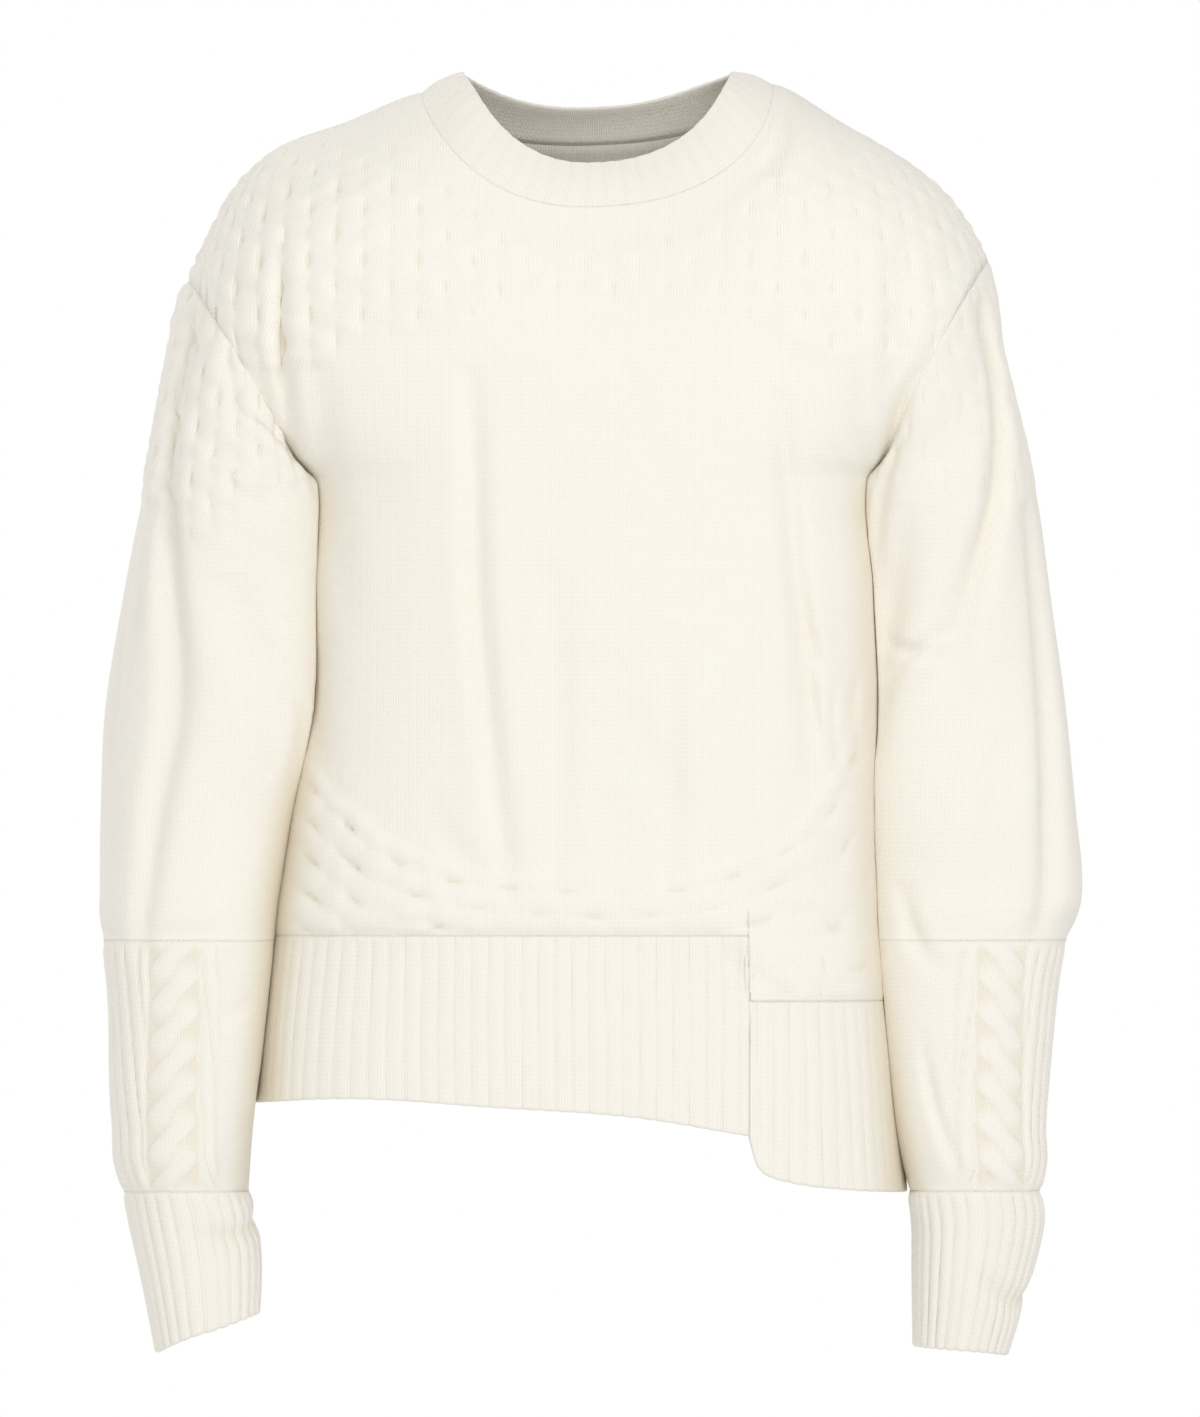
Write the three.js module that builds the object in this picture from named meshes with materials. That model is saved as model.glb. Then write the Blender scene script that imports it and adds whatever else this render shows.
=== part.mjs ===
// A knitted pullover sweater, worn and hollow, with nobody in it. Millimetres, +Z up.
// The front faces -Y, so +X is the wearer's left. The origin is the middle of the neck opening,
// level with the two neck points, where the wearer's shoulders carry the garment.
//
// Each piece is a wall: rows of points on its outer face, and rows of fewer points on a plain
// inner face. Honeycomb cable, plait and rib stand out of the outer face only.
import * as THREE from "three";

// ---- Driving sizes ----------------------------------------------------------------------

const WALL = 3.0; // thickness of the knit under its raised stitches
const SEAM_GAP = 0.3; // between two pieces that are sewn together
const HALF_SEAM = SEAM_GAP / 2;
const CABLE_RISE = 2.6; // how far a honeycomb cell stands out
const RIB_RISE = 1.8;
const NECK_RIB_RISE = 1.1;
const RIB_PITCH = 9.6; // from one rib to the next
const NECK_RIB_PITCH = 12;
const ARM_CLEARANCE = 7.0; // between the side of the body and the sleeve beside it

const BODY_SQUARENESS = 2.4; // exponent of the body's cross-section, 2 is an ellipse
const SLEEVE_SQUARENESS = 2.3;

const PANEL_COLUMNS = 44;
const NECK_COLUMN = 10; // columns from the middle to a neck point, of half of them all
const PLAIN_ROWS = 4; // rows of the plain window between the two honeycomb bands
const BAND_ROWS = 6; // rows of the honeycomb band above the hem
const YOKE_ROWS = 13; // rows from the underarm up, which are the armhole's rows too
const PANEL_INNER_COLUMNS = 22;
const SLEEVE_ROWS = { cap: 6, plain: 4, cabled: 8 };
const SLEEVE_INNER_COLUMNS = 20;

// Body outline by height: left and right are X at the sides, front and back are depths from y 0.
// Above the underarm the sides are those of the body and both arms together.
const BODY = [
  { z: -60, left: -262, right: 254, front: 126, back: 116 },
  { z: -120, left: -262, right: 252, front: 128, back: 120 },
  { z: -165, left: -256, right: 246, front: 130, back: 122 },
  { z: -200, left: -226, right: 218, front: 130, back: 122 },
  { z: -222, left: -190, right: 181, front: 130, back: 121 },
  { z: -236, left: -172, right: 163, front: 130, back: 120 },
  { z: -300, left: -171, right: 166, front: 129, back: 119 },
  { z: -370, left: -173, right: 167, front: 127, back: 120 },
  { z: -440, left: -183, right: 166, front: 126, back: 123 },
  { z: -500, left: -192, right: 168, front: 126, back: 126 },
  { z: -560, left: -199, right: 173, front: 129, back: 130 },
  { z: -650, left: -202, right: 180, front: 132, back: 134 },
];

// The line of the shoulders from tip to tip, seen from the front.
const SHOULDER = [
  { x: -250, z: -146 },
  { x: -236, z: -121 },
  { x: -225, z: -98 },
  { x: -210, z: -70 },
  { x: -186, z: -45 },
  { x: -145, z: -29 },
  { x: -102, z: -12 },
  { x: -40, z: -4 },
  { x: 40, z: -4 },
  { x: 102, z: -9 },
  { x: 141, z: -29 },
  { x: 182, z: -54 },
  { x: 208, z: -79 },
  { x: 226, z: -109 },
  { x: 240, z: -135 },
];

// Where each armhole starts under the arm, and where it ends on the shoulder.
const ARMHOLE = {
  right: { underarm: { x: -172, z: -236 }, tip: { x: -236, z: -121 }, bow: -5 },
  left: { underarm: { x: 163, z: -236 }, tip: { x: 226, z: -109 }, bow: -5 },
};

// The seam of the neckband. Squareness below 1 gives a fuller corner.
const NECK = {
  halfWidth: 102,
  pointHeight: { left: -7, right: -12 },
  front: { drop: 69, power: 2.3, squareLeft: 0.5, squareRight: 0.7 },
  back: { drop: 30, power: 2.3, squareLeft: 0.7, squareRight: 0.7 },
};
// The free edge of the neckband.
const NECK_EDGE = {
  halfWidth: 79,
  pointHeight: -5,
  frontRise: 25, // of the edge over the seam
  backRise: 20,
  lean: 0.82, // how far the edge leans in over the seam, front to back
};

// Hem bands. The front is split by a vent, and the piece on the wearer's left hangs lower.
const VENT_X = 88;
const VENT_RAMP = 1.2; // across the step at the vent
const VENT_COLUMN = 7; // columns from the middle to the vent
const HEM_SEAM = { high: -500, low: -538 };
const HEM_EDGE = [
  { x: -205, z: -596.5 },
  { x: -140, z: -592.5 },
  { x: -60, z: -597.5 },
  { x: 20, z: -603 },
  { x: VENT_X, z: -614 },
];
const VENT_EDGE = [
  { x: VENT_X, z: -616 },
  { x: VENT_X + 5, z: -632 },
  { x: VENT_X + 20, z: -640 },
  { x: VENT_X + 50, z: -645 },
  { x: 185, z: -648 },
];
const BACK_HEM_EDGE = [
  { x: -205, z: -594 },
  { x: -140, z: -587 },
  { x: -60, z: -590 },
  { x: 60, z: -601 },
  { x: 130, z: -622 },
  { x: 185, z: -648 },
];
const VENT_LIFT = 2.5; // the lower piece stands this far in front of its neighbour

// Sleeves by height: outer and inner are X, front and back are y.
const SLEEVE = {
  right: [
    { z: -110, outer: -229, inner: -166, front: -70, back: 70 },
    { z: -132, outer: -240, inner: -163, front: -78, back: 76 },
    { z: -160, outer: -246, inner: -160, front: -82, back: 76 },
    { z: -225, outer: -259, inner: -149, front: -84, back: 68 },
    { z: -300, outer: -273.5, inner: -147, front: -82, back: 56 },
    { z: -370, outer: -284, inner: -150, front: -84, back: 44 },
    { z: -430, outer: -287.5, inner: -172, front: -92, back: 30 },
    { z: -480, outer: -287, inner: -190, front: -100, back: 16 },
    { z: -540, outer: -282.5, inner: -193, front: -104, back: 2 },
    { z: -600, outer: -279.5, inner: -199, front: -106, back: -12 },
    { z: -650, outer: -273, inner: -202, front: -104, back: -22 },
  ],
  left: [
    { z: -100, outer: 219, inner: 162, front: -66, back: 70 },
    { z: -132, outer: 229.5, inner: 158, front: -76, back: 76 },
    { z: -160, outer: 235, inner: 154, front: -78, back: 78 },
    { z: -225, outer: 250.5, inner: 143, front: -76, back: 76 },
    { z: -300, outer: 262, inner: 140, front: -70, back: 70 },
    { z: -370, outer: 271, inner: 140, front: -68, back: 62 },
    { z: -430, outer: 278, inner: 142, front: -70, back: 54 },
    { z: -475, outer: 280, inner: 145, front: -72, back: 46 },
    { z: -510, outer: 269, inner: 150, front: -74, back: 38 },
    { z: -560, outer: 263, inner: 160, front: -78, back: 26 },
    { z: -610, outer: 258.5, inner: 170, front: -80, back: 16 },
    { z: -650, outer: 256, inner: 182, front: -80, back: 8 },
  ],
};
const FOREARM_SEAM = -503; // where the plaited forearm is joined on
const SLEEVE_END = -648; // the seam of the cuff
const ARMHOLE_FADE = 0.14; // share of the sleeve over which its armhole shape dies out

const CUFF = {
  right: [
    { z: -648, outer: -273, inner: -200, front: -103, back: -22 },
    { z: -664, outer: -270, inner: -197.5, front: -102, back: -26 },
    { z: -695, outer: -263, inner: -195.5, front: -100, back: -32 },
    { z: -738, outer: -254.5, inner: -198, front: -98, back: -38 },
  ],
  left: [
    { z: -648, outer: 256, inner: 183, front: -79, back: 8 },
    { z: -664, outer: 258, inner: 184, front: -77, back: 3 },
    { z: -695, outer: 251, inner: 184, front: -74, back: -4 },
    { z: -741, outer: 237, inner: 184.5, front: -70, back: -12 },
  ],
};
// Heights of a cuff's free edge on its outer and inner side.
const CUFF_EDGE = {
  right: { outer: -739, inner: -717 },
  left: { outer: -741, inner: -736 },
};

// Long soft folds that hang in the body. Depth is how far the trough sinks.
const BODY_FOLDS = {
  front: [
    { x: -73, lean: -0.05, top: -185, bottom: -468, width: 11, depth: 4.5 },
    { x: -24, lean: -0.02, top: -285, bottom: -480, width: 9, depth: 2.6 },
    { x: 41, lean: 0.0, top: -320, bottom: -500, width: 9, depth: 2.4 },
    { x: 108, lean: -0.06, top: -190, bottom: -420, width: 11, depth: 5 },
    { x: -176, lean: 0.0, top: -95, bottom: -215, width: 12, depth: 5 },
    { x: 176, lean: 0.03, top: -85, bottom: -225, width: 12, depth: 6 },
    { x: 118, lean: 0.35, top: -12, bottom: -62, width: 10, depth: 3.5 },
    { x: 146, lean: 0, top: -345, bottom: -440, width: 9, depth: 3.5 },
    { x: -158, lean: 0, top: -260, bottom: -440, width: 10, depth: 4 },
  ],
  back: [
    { x: -96, lean: 0.06, top: -150, bottom: -470, width: 13, depth: 5 },
    { x: -38, lean: 0.02, top: -240, bottom: -490, width: 11, depth: 3.4 },
    { x: 22, lean: -0.03, top: -170, bottom: -440, width: 12, depth: 3 },
    { x: 84, lean: -0.08, top: -220, bottom: -500, width: 12, depth: 4.6 },
    { x: -180, lean: 0.0, top: -100, bottom: -220, width: 12, depth: 5 },
    { x: 174, lean: 0.0, top: -95, bottom: -220, width: 12, depth: 5 },
  ],
};

// Long folds of the sleeves. Turn is degrees round the arm: 0 at the body, 90 front, 180 outside.
const SLEEVE_FOLDS = {
  right: [
    { turn: 138, drift: -12, top: -150, bottom: -545, width: 13, depth: 6 },
    { turn: 62, drift: 12, top: -260, bottom: -420, width: 14, depth: 4 },
    { turn: 215, drift: 10, top: -170, bottom: -470, width: 14, depth: 5 },
    { turn: 300, drift: -16, top: -210, bottom: -520, width: 15, depth: 5 },
  ],
  left: [
    { turn: 118, drift: -26, top: -135, bottom: -400, width: 13, depth: 6.5 },
    { turn: 157, drift: 4, top: -240, bottom: -545, width: 12, depth: 6 },
    { turn: 72, drift: -24, top: -250, bottom: -390, width: 13, depth: 4.5 },
    { turn: 222, drift: -10, top: -190, bottom: -480, width: 14, depth: 5 },
    { turn: 296, drift: 14, top: -230, bottom: -540, width: 15, depth: 5 },
  ],
};

// ---- Small mathematics ------------------------------------------------------------------

const lerp = (a, b, t) => a + (b - a) * t;
const clamp01 = (t) => Math.min(1, Math.max(0, t));
const smooth = (t) => clamp01(t) ** 2 * (3 - 2 * clamp01(t));
const bell = (t) => Math.exp(-t * t);

// A table's column at a place along another column, as a smooth curve through its rows.
function along(table, place, column, at) {
  const rows = table[0][place] < table[table.length - 1][place] ? table : [...table].reverse();
  const p = clamp01((at - rows[0][place]) / (rows[rows.length - 1][place] - rows[0][place]));
  const target = lerp(rows[0][place], rows[rows.length - 1][place], p);
  let i = 0;
  while (i < rows.length - 2 && rows[i + 1][place] < target) i++;
  const slope = (k) => {
    const before = rows[Math.max(0, k - 1)];
    const after = rows[Math.min(rows.length - 1, k + 1)];
    return (after[column] - before[column]) / (after[place] - before[place]);
  };
  const [a, b] = [rows[i], rows[i + 1]];
  const span = b[place] - a[place];
  const t = (target - a[place]) / span;
  return (
    a[column] * (1 - t) ** 2 * (1 + 2 * t) +
    b[column] * t ** 2 * (3 - 2 * t) +
    slope(i) * span * t * (1 - t) ** 2 -
    slope(i + 1) * span * t ** 2 * (1 - t)
  );
}

// Superellipse factors for an angle: how far across and how far to the front.
function roundedTurn(angle, squareness) {
  const c = Math.cos(angle);
  const s = Math.sin(angle);
  const k = 2 / squareness;
  return { across: Math.sign(c) * Math.abs(c) ** k, forward: Math.sign(s) * Math.abs(s) ** k };
}

const superSide = (share, n) => (1 - Math.min(1, Math.abs(share)) ** n) ** (1 / n);

// ---- The body's surface -----------------------------------------------------------------

// How deep the front or back lies behind the outline at (x, z): a superellipse across, rounded
// over towards the shoulders by a quarter ellipse of a radius that grows towards the neck.
function bodyDepth(face, x, z) {
  const left = along(BODY, "z", "left", z);
  const right = along(BODY, "z", "right", z);
  const middle = (left + right) / 2;
  const share = x < middle ? (middle - x) / (middle - left) : (x - middle) / (right - middle);
  const shoulderRadius = lerp(200, 88, smooth(Math.abs(x) / 165));
  const below = clamp01((along(SHOULDER, "x", "z", x) - z) / shoulderRadius);
  const roundOver = Math.sqrt(Math.max(0, 1 - (1 - below) ** 2));
  return along(BODY, "z", face, z) * superSide(share, BODY_SQUARENESS) * roundOver;
}

// How far the folds of the body sink in at (x, z).
function bodyFolds(face, x, z) {
  let sink = 0;
  for (const f of BODY_FOLDS[face]) {
    const t = (f.top - z) / (f.top - f.bottom);
    if (t <= 0 || t >= 1) continue;
    const centre = f.x + f.lean * (f.top - z);
    sink += f.depth * bell((x - centre) / f.width) * Math.sin(Math.PI * t) ** 0.7;
  }
  return sink;
}

function neckSeamZ(face, x) {
  const n = NECK[face];
  const share = Math.min(1, Math.abs(x) / NECK.halfWidth);
  const square = x < 0 ? n.squareRight : n.squareLeft;
  const { left, right } = NECK.pointHeight;
  const chord = lerp(right, left, smooth((x / NECK.halfWidth + 1) / 2));
  return chord - n.drop * (1 - share ** n.power) ** square;
}

function panelTopZ(face, x) {
  if (Math.abs(x) <= NECK.halfWidth) return neckSeamZ(face, x);
  const shoulder = along(SHOULDER, "x", "z", x);
  const settle = smooth((Math.abs(x) - NECK.halfWidth) / 20);
  return lerp(x < 0 ? NECK.pointHeight.right : NECK.pointHeight.left, shoulder, settle);
}

function panelBottomZ(face, x) {
  if (face === "front") {
    return x > VENT_X + VENT_RAMP / 2 ? HEM_SEAM.low : HEM_SEAM.high;
  }
  return lerp(HEM_SEAM.high, HEM_SEAM.low, smooth((x - 50) / 120));
}

// The edge of a panel at (side, t): t runs 0 to 1 up the side seam, then 1 to 2 round the armhole.
function panelEdge(side, t) {
  const hole = ARMHOLE[side];
  if (t <= 1) {
    const bottom = side === "left" ? HEM_SEAM.low : HEM_SEAM.high;
    const z = lerp(bottom, hole.underarm.z, t);
    return { x: along(BODY, "z", side === "left" ? "right" : "left", z), z };
  }
  const turn = (1 - Math.cos(Math.PI * (t - 1))) / 2;
  const bow = hole.bow * Math.sin(Math.PI * turn) * Math.sign(hole.tip.x);
  return {
    x: lerp(hole.underarm.x, hole.tip.x, turn) + bow,
    z: lerp(hole.underarm.z, hole.tip.z, turn),
  };
}

// Rows of a panel, from hem to shoulder: t for the edge and share for the height in the middle.
function panelRows() {
  const low = BAND_ROWS + PLAIN_ROWS;
  const rows = [];
  for (let k = 0; k <= low; k++) {
    const share = k <= BAND_ROWS ? (0.36 * k) / BAND_ROWS : lerp(0.36, 1, (k - BAND_ROWS) / PLAIN_ROWS);
    rows.push({ edge: share, middle: 0.6 * share, ridge: 0.6 * share, band: k <= BAND_ROWS });
  }
  for (let k = 1; k <= YOKE_ROWS; k++) {
    const t = k / YOKE_ROWS;
    const ease = Math.sin((Math.PI / 2) * t);
    rows.push({ edge: 1 + t, middle: lerp(0.6, 1, t), ridge: lerp(0.6, 1, ease), yoke: true });
  }
  return rows;
}

// X of a column: crowded towards the side seams below, and on the neck points at the top.
function columnX(u, end, rise) {
  const half = PANEL_COLUMNS / 2;
  const k = Math.abs(u) * half;
  const low = Math.sin((Math.PI / 2) * Math.abs(u)) * end;
  const neck = Math.sign(end) * NECK.halfWidth;
  const roundNeck = neck * Math.sin((Math.PI / 2) * Math.min(1, k / NECK_COLUMN));
  const alongShoulder = (end - neck) * Math.max(0, (k - NECK_COLUMN) / (half - NECK_COLUMN));
  return lerp(low, roundNeck + alongShoulder, rise);
}

// Moves the two columns at the vent onto its sides, and eases the next ones along.
function ventShift(face, i) {
  const k = i - PANEL_COLUMNS / 2;
  if (face !== "front" || k < VENT_COLUMN || k > VENT_COLUMN + 5) return 0;
  const bottom = along(BODY, "z", "right", HEM_SEAM.low);
  const natural = (n) => Math.sin((Math.PI * n) / PANEL_COLUMNS) * bottom;
  if (k === VENT_COLUMN) return VENT_X - natural(k);
  const first = VENT_COLUMN + 1;
  return (VENT_X + VENT_RAMP - natural(first)) * (1 - (k - first) / 5);
}

// Honeycomb cells stand out at every second point of the rows that hold them.
function honeycomb(row, column, share) {
  return (row + column) % 2 ? 0 : CABLE_RISE * share;
}

function panelGrid(face) {
  const sign = face === "front" ? -1 : 1;
  const rows = panelRows();
  const points = rows.map((row, j) => {
    const ends = { right: panelEdge("right", row.edge), left: panelEdge("left", row.edge) };
    return Array.from({ length: PANEL_COLUMNS + 1 }, (_, i) => {
      const u = (2 * i) / PANEL_COLUMNS - 1;
      const end = u < 0 ? ends.right : ends.left;
      let x = columnX(u, end.x, clamp01(row.edge - 1));
      x += ventShift(face, i) * (1 - smooth(j / (BAND_ROWS + 1)));
      const hold = 1 - smooth((Math.abs(u) - 0.8) / 0.2);
      const tip = u < 0 ? ARMHOLE.right.tip : ARMHOLE.left.tip;
      const beyondNeck = (Math.abs(u) * PANEL_COLUMNS) / 2 - NECK_COLUMN;
      const top = panelTopZ(face, lerp(columnX(u, tip.x, 1), x, smooth(beyondNeck / 3)));
      const bottom = panelBottomZ(face, x);
      const climb = lerp(row.ridge, row.middle, 1 - smooth(Math.abs(u) / 0.5));
      let z = lerp(end.z, lerp(bottom, top, climb), hold);
      if (j === rows.length - 1) z = top;
      if (j === 0) z = Math.abs(u) > 0.99 ? end.z : bottom;
      const onEdge = i === 0 || i === PANEL_COLUMNS;
      if (onEdge) [x, z] = [end.x, end.z];
      const depth = bodyDepth(face, x, z);
      const sink = onEdge ? 0 : bodyFolds(face, x, z) * smooth(depth / 40);
      return new THREE.Vector3(x, sign * (depth - sink + HALF_SEAM), z);
    });
  });
  const inYoke = (p) => smooth((p.z + 196 - 34 * bell(p.x / 95)) / 14);
  const inBand = (p) => smooth((-408 - 62 * bell(p.x / 105) - p.z) / 16);
  const raise = points.map((line, j) =>
    line.map((p, i) => {
      const rim = i === 0 || i === PANEL_COLUMNS || j === 0 || j === rows.length - 1;
      const share = rows[j].yoke ? inYoke(p) : rows[j].band ? inBand(p) : 0;
      if (rim) return 0;
      const nearest = Math.min(p.distanceTo(line[i - 1]), p.distanceTo(line[i + 1]));
      return honeycomb(j, i, share * smooth((nearest - 4) / 3));
    }),
  );
  return { face, sign, points, raise };
}

// ---- Walls ------------------------------------------------------------------------------

// Outward normals of a grid of points. A closed grid joins its last column to its first.
function gridNormals(points, closed, outward) {
  const rows = points.length;
  const count = points[0].length;
  return points.map((line, j) =>
    line.map((_, i) => {
      const wrap = (k) => (closed ? (k + count) % count : Math.min(count - 1, Math.max(0, k)));
      const across = points[j][wrap(i + 1)].clone().sub(points[j][wrap(i - 1)]);
      const up = points[Math.min(rows - 1, j + 1)][i].clone().sub(points[Math.max(0, j - 1)][i]);
      const n = across.cross(up).normalize();
      return n.multiplyScalar(outward);
    }),
  );
}

const movedOut = (points, normals, amount) =>
  points.map((line, j) =>
    line.map((p, i) => p.clone().addScaledVector(normals[j][i], amount(j, i))),
  );

// Every so many points of a line, with both ends (or, on a closed ring, evenly all round).
function thinned(line, count, closed) {
  const last = closed ? line.length : line.length - 1;
  return Array.from({ length: closed ? count : count + 1 }, (_, k) => {
    return line[Math.round((k * last) / count) % line.length];
  });
}

// The share of a line's length passed at each of its points.
function pace(line) {
  const reach = [0];
  for (let k = 1; k < line.length; k++) reach.push(reach[k - 1] + line[k].distanceTo(line[k - 1]));
  return reach.map((r) => r / reach.at(-1));
}

// The rows of an inner face: full where another piece is sewn on, thinned in between.
function innerRows(rows, count, closed) {
  const sewn = (j) => j === 0 || j === rows.length - 1;
  return rows.map((line, j) => (sewn(j) ? line : thinned(line, count, closed)));
}

// Collects triangles between rows of points, and gives one closed geometry. A wall that is built
// the other way round from its rows is turned at the end.
class Wall {
  constructor(turned) {
    this.turned = turned;
    this.corners = [];
  }
  triangle(a, b, c) {
    const [second, third] = this.turned ? [c, b] : [b, c];
    for (const p of [a, second, third]) this.corners.push(p.x, p.y, p.z);
  }
  // A quad split along the diagonal that stands out, so raised points join into ropes.
  quad(a, b, c, d) {
    const normal = b.clone().sub(a).cross(d.clone().sub(a));
    const dip = c.clone().sub(a).dot(normal) * (this.turned ? -1 : 1);
    if (dip <= 0) {
      this.triangle(a, b, d);
      this.triangle(b, c, d);
    } else {
      this.triangle(a, b, c);
      this.triangle(a, c, d);
    }
  }
  // Joins two lines that may have different counts of points, walking both at one pace.
  bridge(low, high, closed = false) {
    const a = closed ? [...low, low[0]] : low;
    const b = closed ? [...high, high[0]] : high;
    if (a.length === b.length) {
      for (let i = 0; i < a.length - 1; i++) this.quad(a[i], a[i + 1], b[i + 1], b[i]);
      return;
    }
    const [paceA, paceB] = [pace(a), pace(b)];
    let [i, k] = [0, 0];
    while (i < a.length - 1 || k < b.length - 1) {
      if (k === b.length - 1 || (i < a.length - 1 && paceA[i + 1] <= paceB[k + 1] + 1e-9)) {
        this.triangle(a[i], a[i + 1], b[k]);
        i++;
      } else {
        this.triangle(a[i], b[k + 1], b[k]);
        k++;
      }
    }
  }
  // Closes the wall along an edge. A twisted piece of rim is split at the diagonal that starts
  // at its outer corner on the steep side, so two pieces sewn together are split alike.
  rim(outer, inner, { reversed = false, closed = false } = {}) {
    if (outer.length !== inner.length) {
      return reversed ? this.bridge(inner, outer, closed) : this.bridge(outer, inner, closed);
    }
    const steep = (p) => p.z + 0.31 * Math.abs(p.y) + 0.17 * p.x;
    const add = (a, b, c) => (reversed ? this.triangle(a, c, b) : this.triangle(a, b, c));
    const count = closed ? outer.length : outer.length - 1;
    for (let k = 0; k < count; k++) {
      const next = (k + 1) % outer.length;
      const [o, p, q, r] = [outer[k], outer[next], inner[next], inner[k]];
      if (steep(o) >= steep(p)) {
        add(o, p, q);
        add(o, q, r);
      } else {
        add(o, p, r);
        add(p, q, r);
      }
    }
    return this;
  }
  geometry() {
    const g = new THREE.BufferGeometry();
    g.setAttribute("position", new THREE.Float32BufferAttribute(this.corners, 3));
    g.computeVertexNormals();
    return g;
  }
}

// A sheet with four free edges. Its outer and inner rows match one to one.
function sheetWall(outer, inner, turned) {
  const wall = new Wall(turned);
  for (let j = 0; j < outer.length - 1; j++) {
    wall.bridge(outer[j], outer[j + 1]);
    wall.bridge(inner[j + 1], inner[j]);
  }
  const column = (rows, i) => rows.map((row) => row.at(i));
  wall.rim(column(outer, 0), column(inner, 0), { reversed: false });
  wall.rim(column(outer, -1), column(inner, -1), { reversed: true });
  wall.rim(outer[0], inner[0], { reversed: true });
  wall.rim(outer.at(-1), inner.at(-1));
  return wall.geometry();
}

// A tube open at both ends.
function tubeWall(outer, inner, turned) {
  const wall = new Wall(turned);
  for (let j = 0; j < outer.length - 1; j++) {
    wall.bridge(outer[j], outer[j + 1], true);
    wall.bridge(inner[j + 1], inner[j], true);
  }
  wall.rim(outer[0], inner[0], { reversed: true, closed: true });
  wall.rim(outer.at(-1), inner.at(-1), { closed: true });
  return wall.geometry();
}

// ---- Front and back ---------------------------------------------------------------------

// Side and shoulder seams lie in the plane between front and back, so normals there have no y,
// and both panels get the same ones.
function seamNormals(grid, normals) {
  const { points } = grid;
  const last = points.length - 1;
  const underarm = BAND_ROWS + PLAIN_ROWS;
  const level = (n, from, to, outward) => {
    n.set(to.z - from.z, 0, from.x - to.x).normalize();
    if (n.dot(outward) < 0) n.negate();
  };
  for (const i of [0, PANEL_COLUMNS]) {
    const side = new THREE.Vector3(points[0][i].x, 0, 0);
    for (let j = 0; j <= underarm; j++) {
      level(normals[j][i], points[Math.max(0, j - 1)][i], points[Math.min(underarm, j + 1)][i], side);
    }
  }
  const up = new THREE.Vector3(0, 0, 1);
  const onShoulder = (i) => Math.abs(points[last][i]?.x ?? 0) >= NECK.halfWidth - 1e-6;
  for (let i = 0; i <= PANEL_COLUMNS; i++) {
    if (!onShoulder(i)) continue;
    const [before, after] = [i - 1, i + 1].map((k) => points[last][onShoulder(k) ? k : i]);
    level(normals[last][i], before, after, up);
  }
  return normals;
}

function panelSurface(face) {
  const grid = panelGrid(face);
  return { ...grid, normals: seamNormals(grid, gridNormals(grid.points, false, -grid.sign)) };
}

function panelWall({ face, sign, points, raise, normals }) {
  const onItsSide = (p) => p.setY(sign * Math.max(HALF_SEAM, sign * p.y));
  const outer = movedOut(points, normals, (j, i) => raise[j][i]);
  const plain = movedOut(points, normals, () => -WALL);
  for (const p of [...outer, ...plain].flat()) onItsSide(p);
  const inner = innerRows(plain, PANEL_INNER_COLUMNS, false);
  return sheetWall(outer, inner, face === "back");
}

// A seam moved one gap over to the next piece, square to the seam and within the cloth.
function seamStart(seam, closed, towards) {
  const last = seam.length - 1;
  const wrap = (k) => (closed ? (k + seam.length) % seam.length : Math.min(last, Math.max(0, k)));
  const step = (a, b) => seam[wrap(b)].point.clone().sub(seam[wrap(a)].point).normalize();
  return seam.map(({ point, normal }, k) => {
    const tangent = step(k - 1, k).add(step(k, k + 1));
    const inLine = closed || (k > 0 && k < last) ? tangent.length() / 2 : 1;
    const gap = SEAM_GAP / Math.max(0.5, inLine);
    const away = tangent.cross(normal).setLength(gap);
    if (away.dot(towards(seam[k], k)) < 0) away.negate();
    return point.clone().add(away);
  });
}

// ---- Sleeves ----------------------------------------------------------------------------

// The armhole as one ring: from under the arm up the front edge, then down the back edge.
function armholeRing(side, front, back) {
  const column = side === "right" ? 0 : PANEL_COLUMNS;
  const first = BAND_ROWS + PLAIN_ROWS;
  const rows = Array.from({ length: YOKE_ROWS + 1 }, (_, k) => first + k);
  const take = (panel, j) => ({ point: panel.points[j][column], normal: panel.normals[j][column] });
  const up = rows.map((j) => take(front, j));
  const down = rows.slice(1, -1).reverse().map((j) => take(back, j));
  return [...up, ...down];
}

// Turns the armhole's normals halfway to the sleeve's, so the two walls meet in a mitre, and
// gives them to both panels. `next` is the sleeve's row below the armhole.
function mitreArmhole(side, front, back, hole, next, outward) {
  const count = hole.length;
  const mitres = hole.map(({ point, normal }, k) => {
    const along = hole[(k + 1) % count].point.clone().sub(hole[(k + count - 1) % count].point);
    const down = next[k].clone().sub(point);
    const sleeve = along.cross(down).normalize().multiplyScalar(outward);
    return sleeve.add(normal).normalize();
  });
  for (const k of [0, YOKE_ROWS]) mitres[k].setY(0).normalize();
  const column = side === "right" ? 0 : PANEL_COLUMNS;
  const first = BAND_ROWS + PLAIN_ROWS;
  for (let k = 0; k <= YOKE_ROWS; k++) {
    front.normals[first + k][column].copy(mitres[k]);
    back.normals[first + k][column].copy(mitres[(count - k) % count]);
  }
  hole.forEach((h, k) => {
    h.normal = mitres[k];
  });
}

function sleeveSection(side, table, turn, z) {
  const at = (column) => along(table, "z", column, z);
  const { across, forward } = roundedTurn(turn, SLEEVE_SQUARENESS);
  const middleX = (at("outer") + at("inner")) / 2;
  const middleY = (at("front") + at("back")) / 2;
  const p = new THREE.Vector3();
  p.x = middleX + ((at("inner") - at("outer")) / 2) * across;
  p.y = middleY - ((at("back") - at("front")) / 2) * forward;
  p.z = z;
  return p;
}

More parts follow.
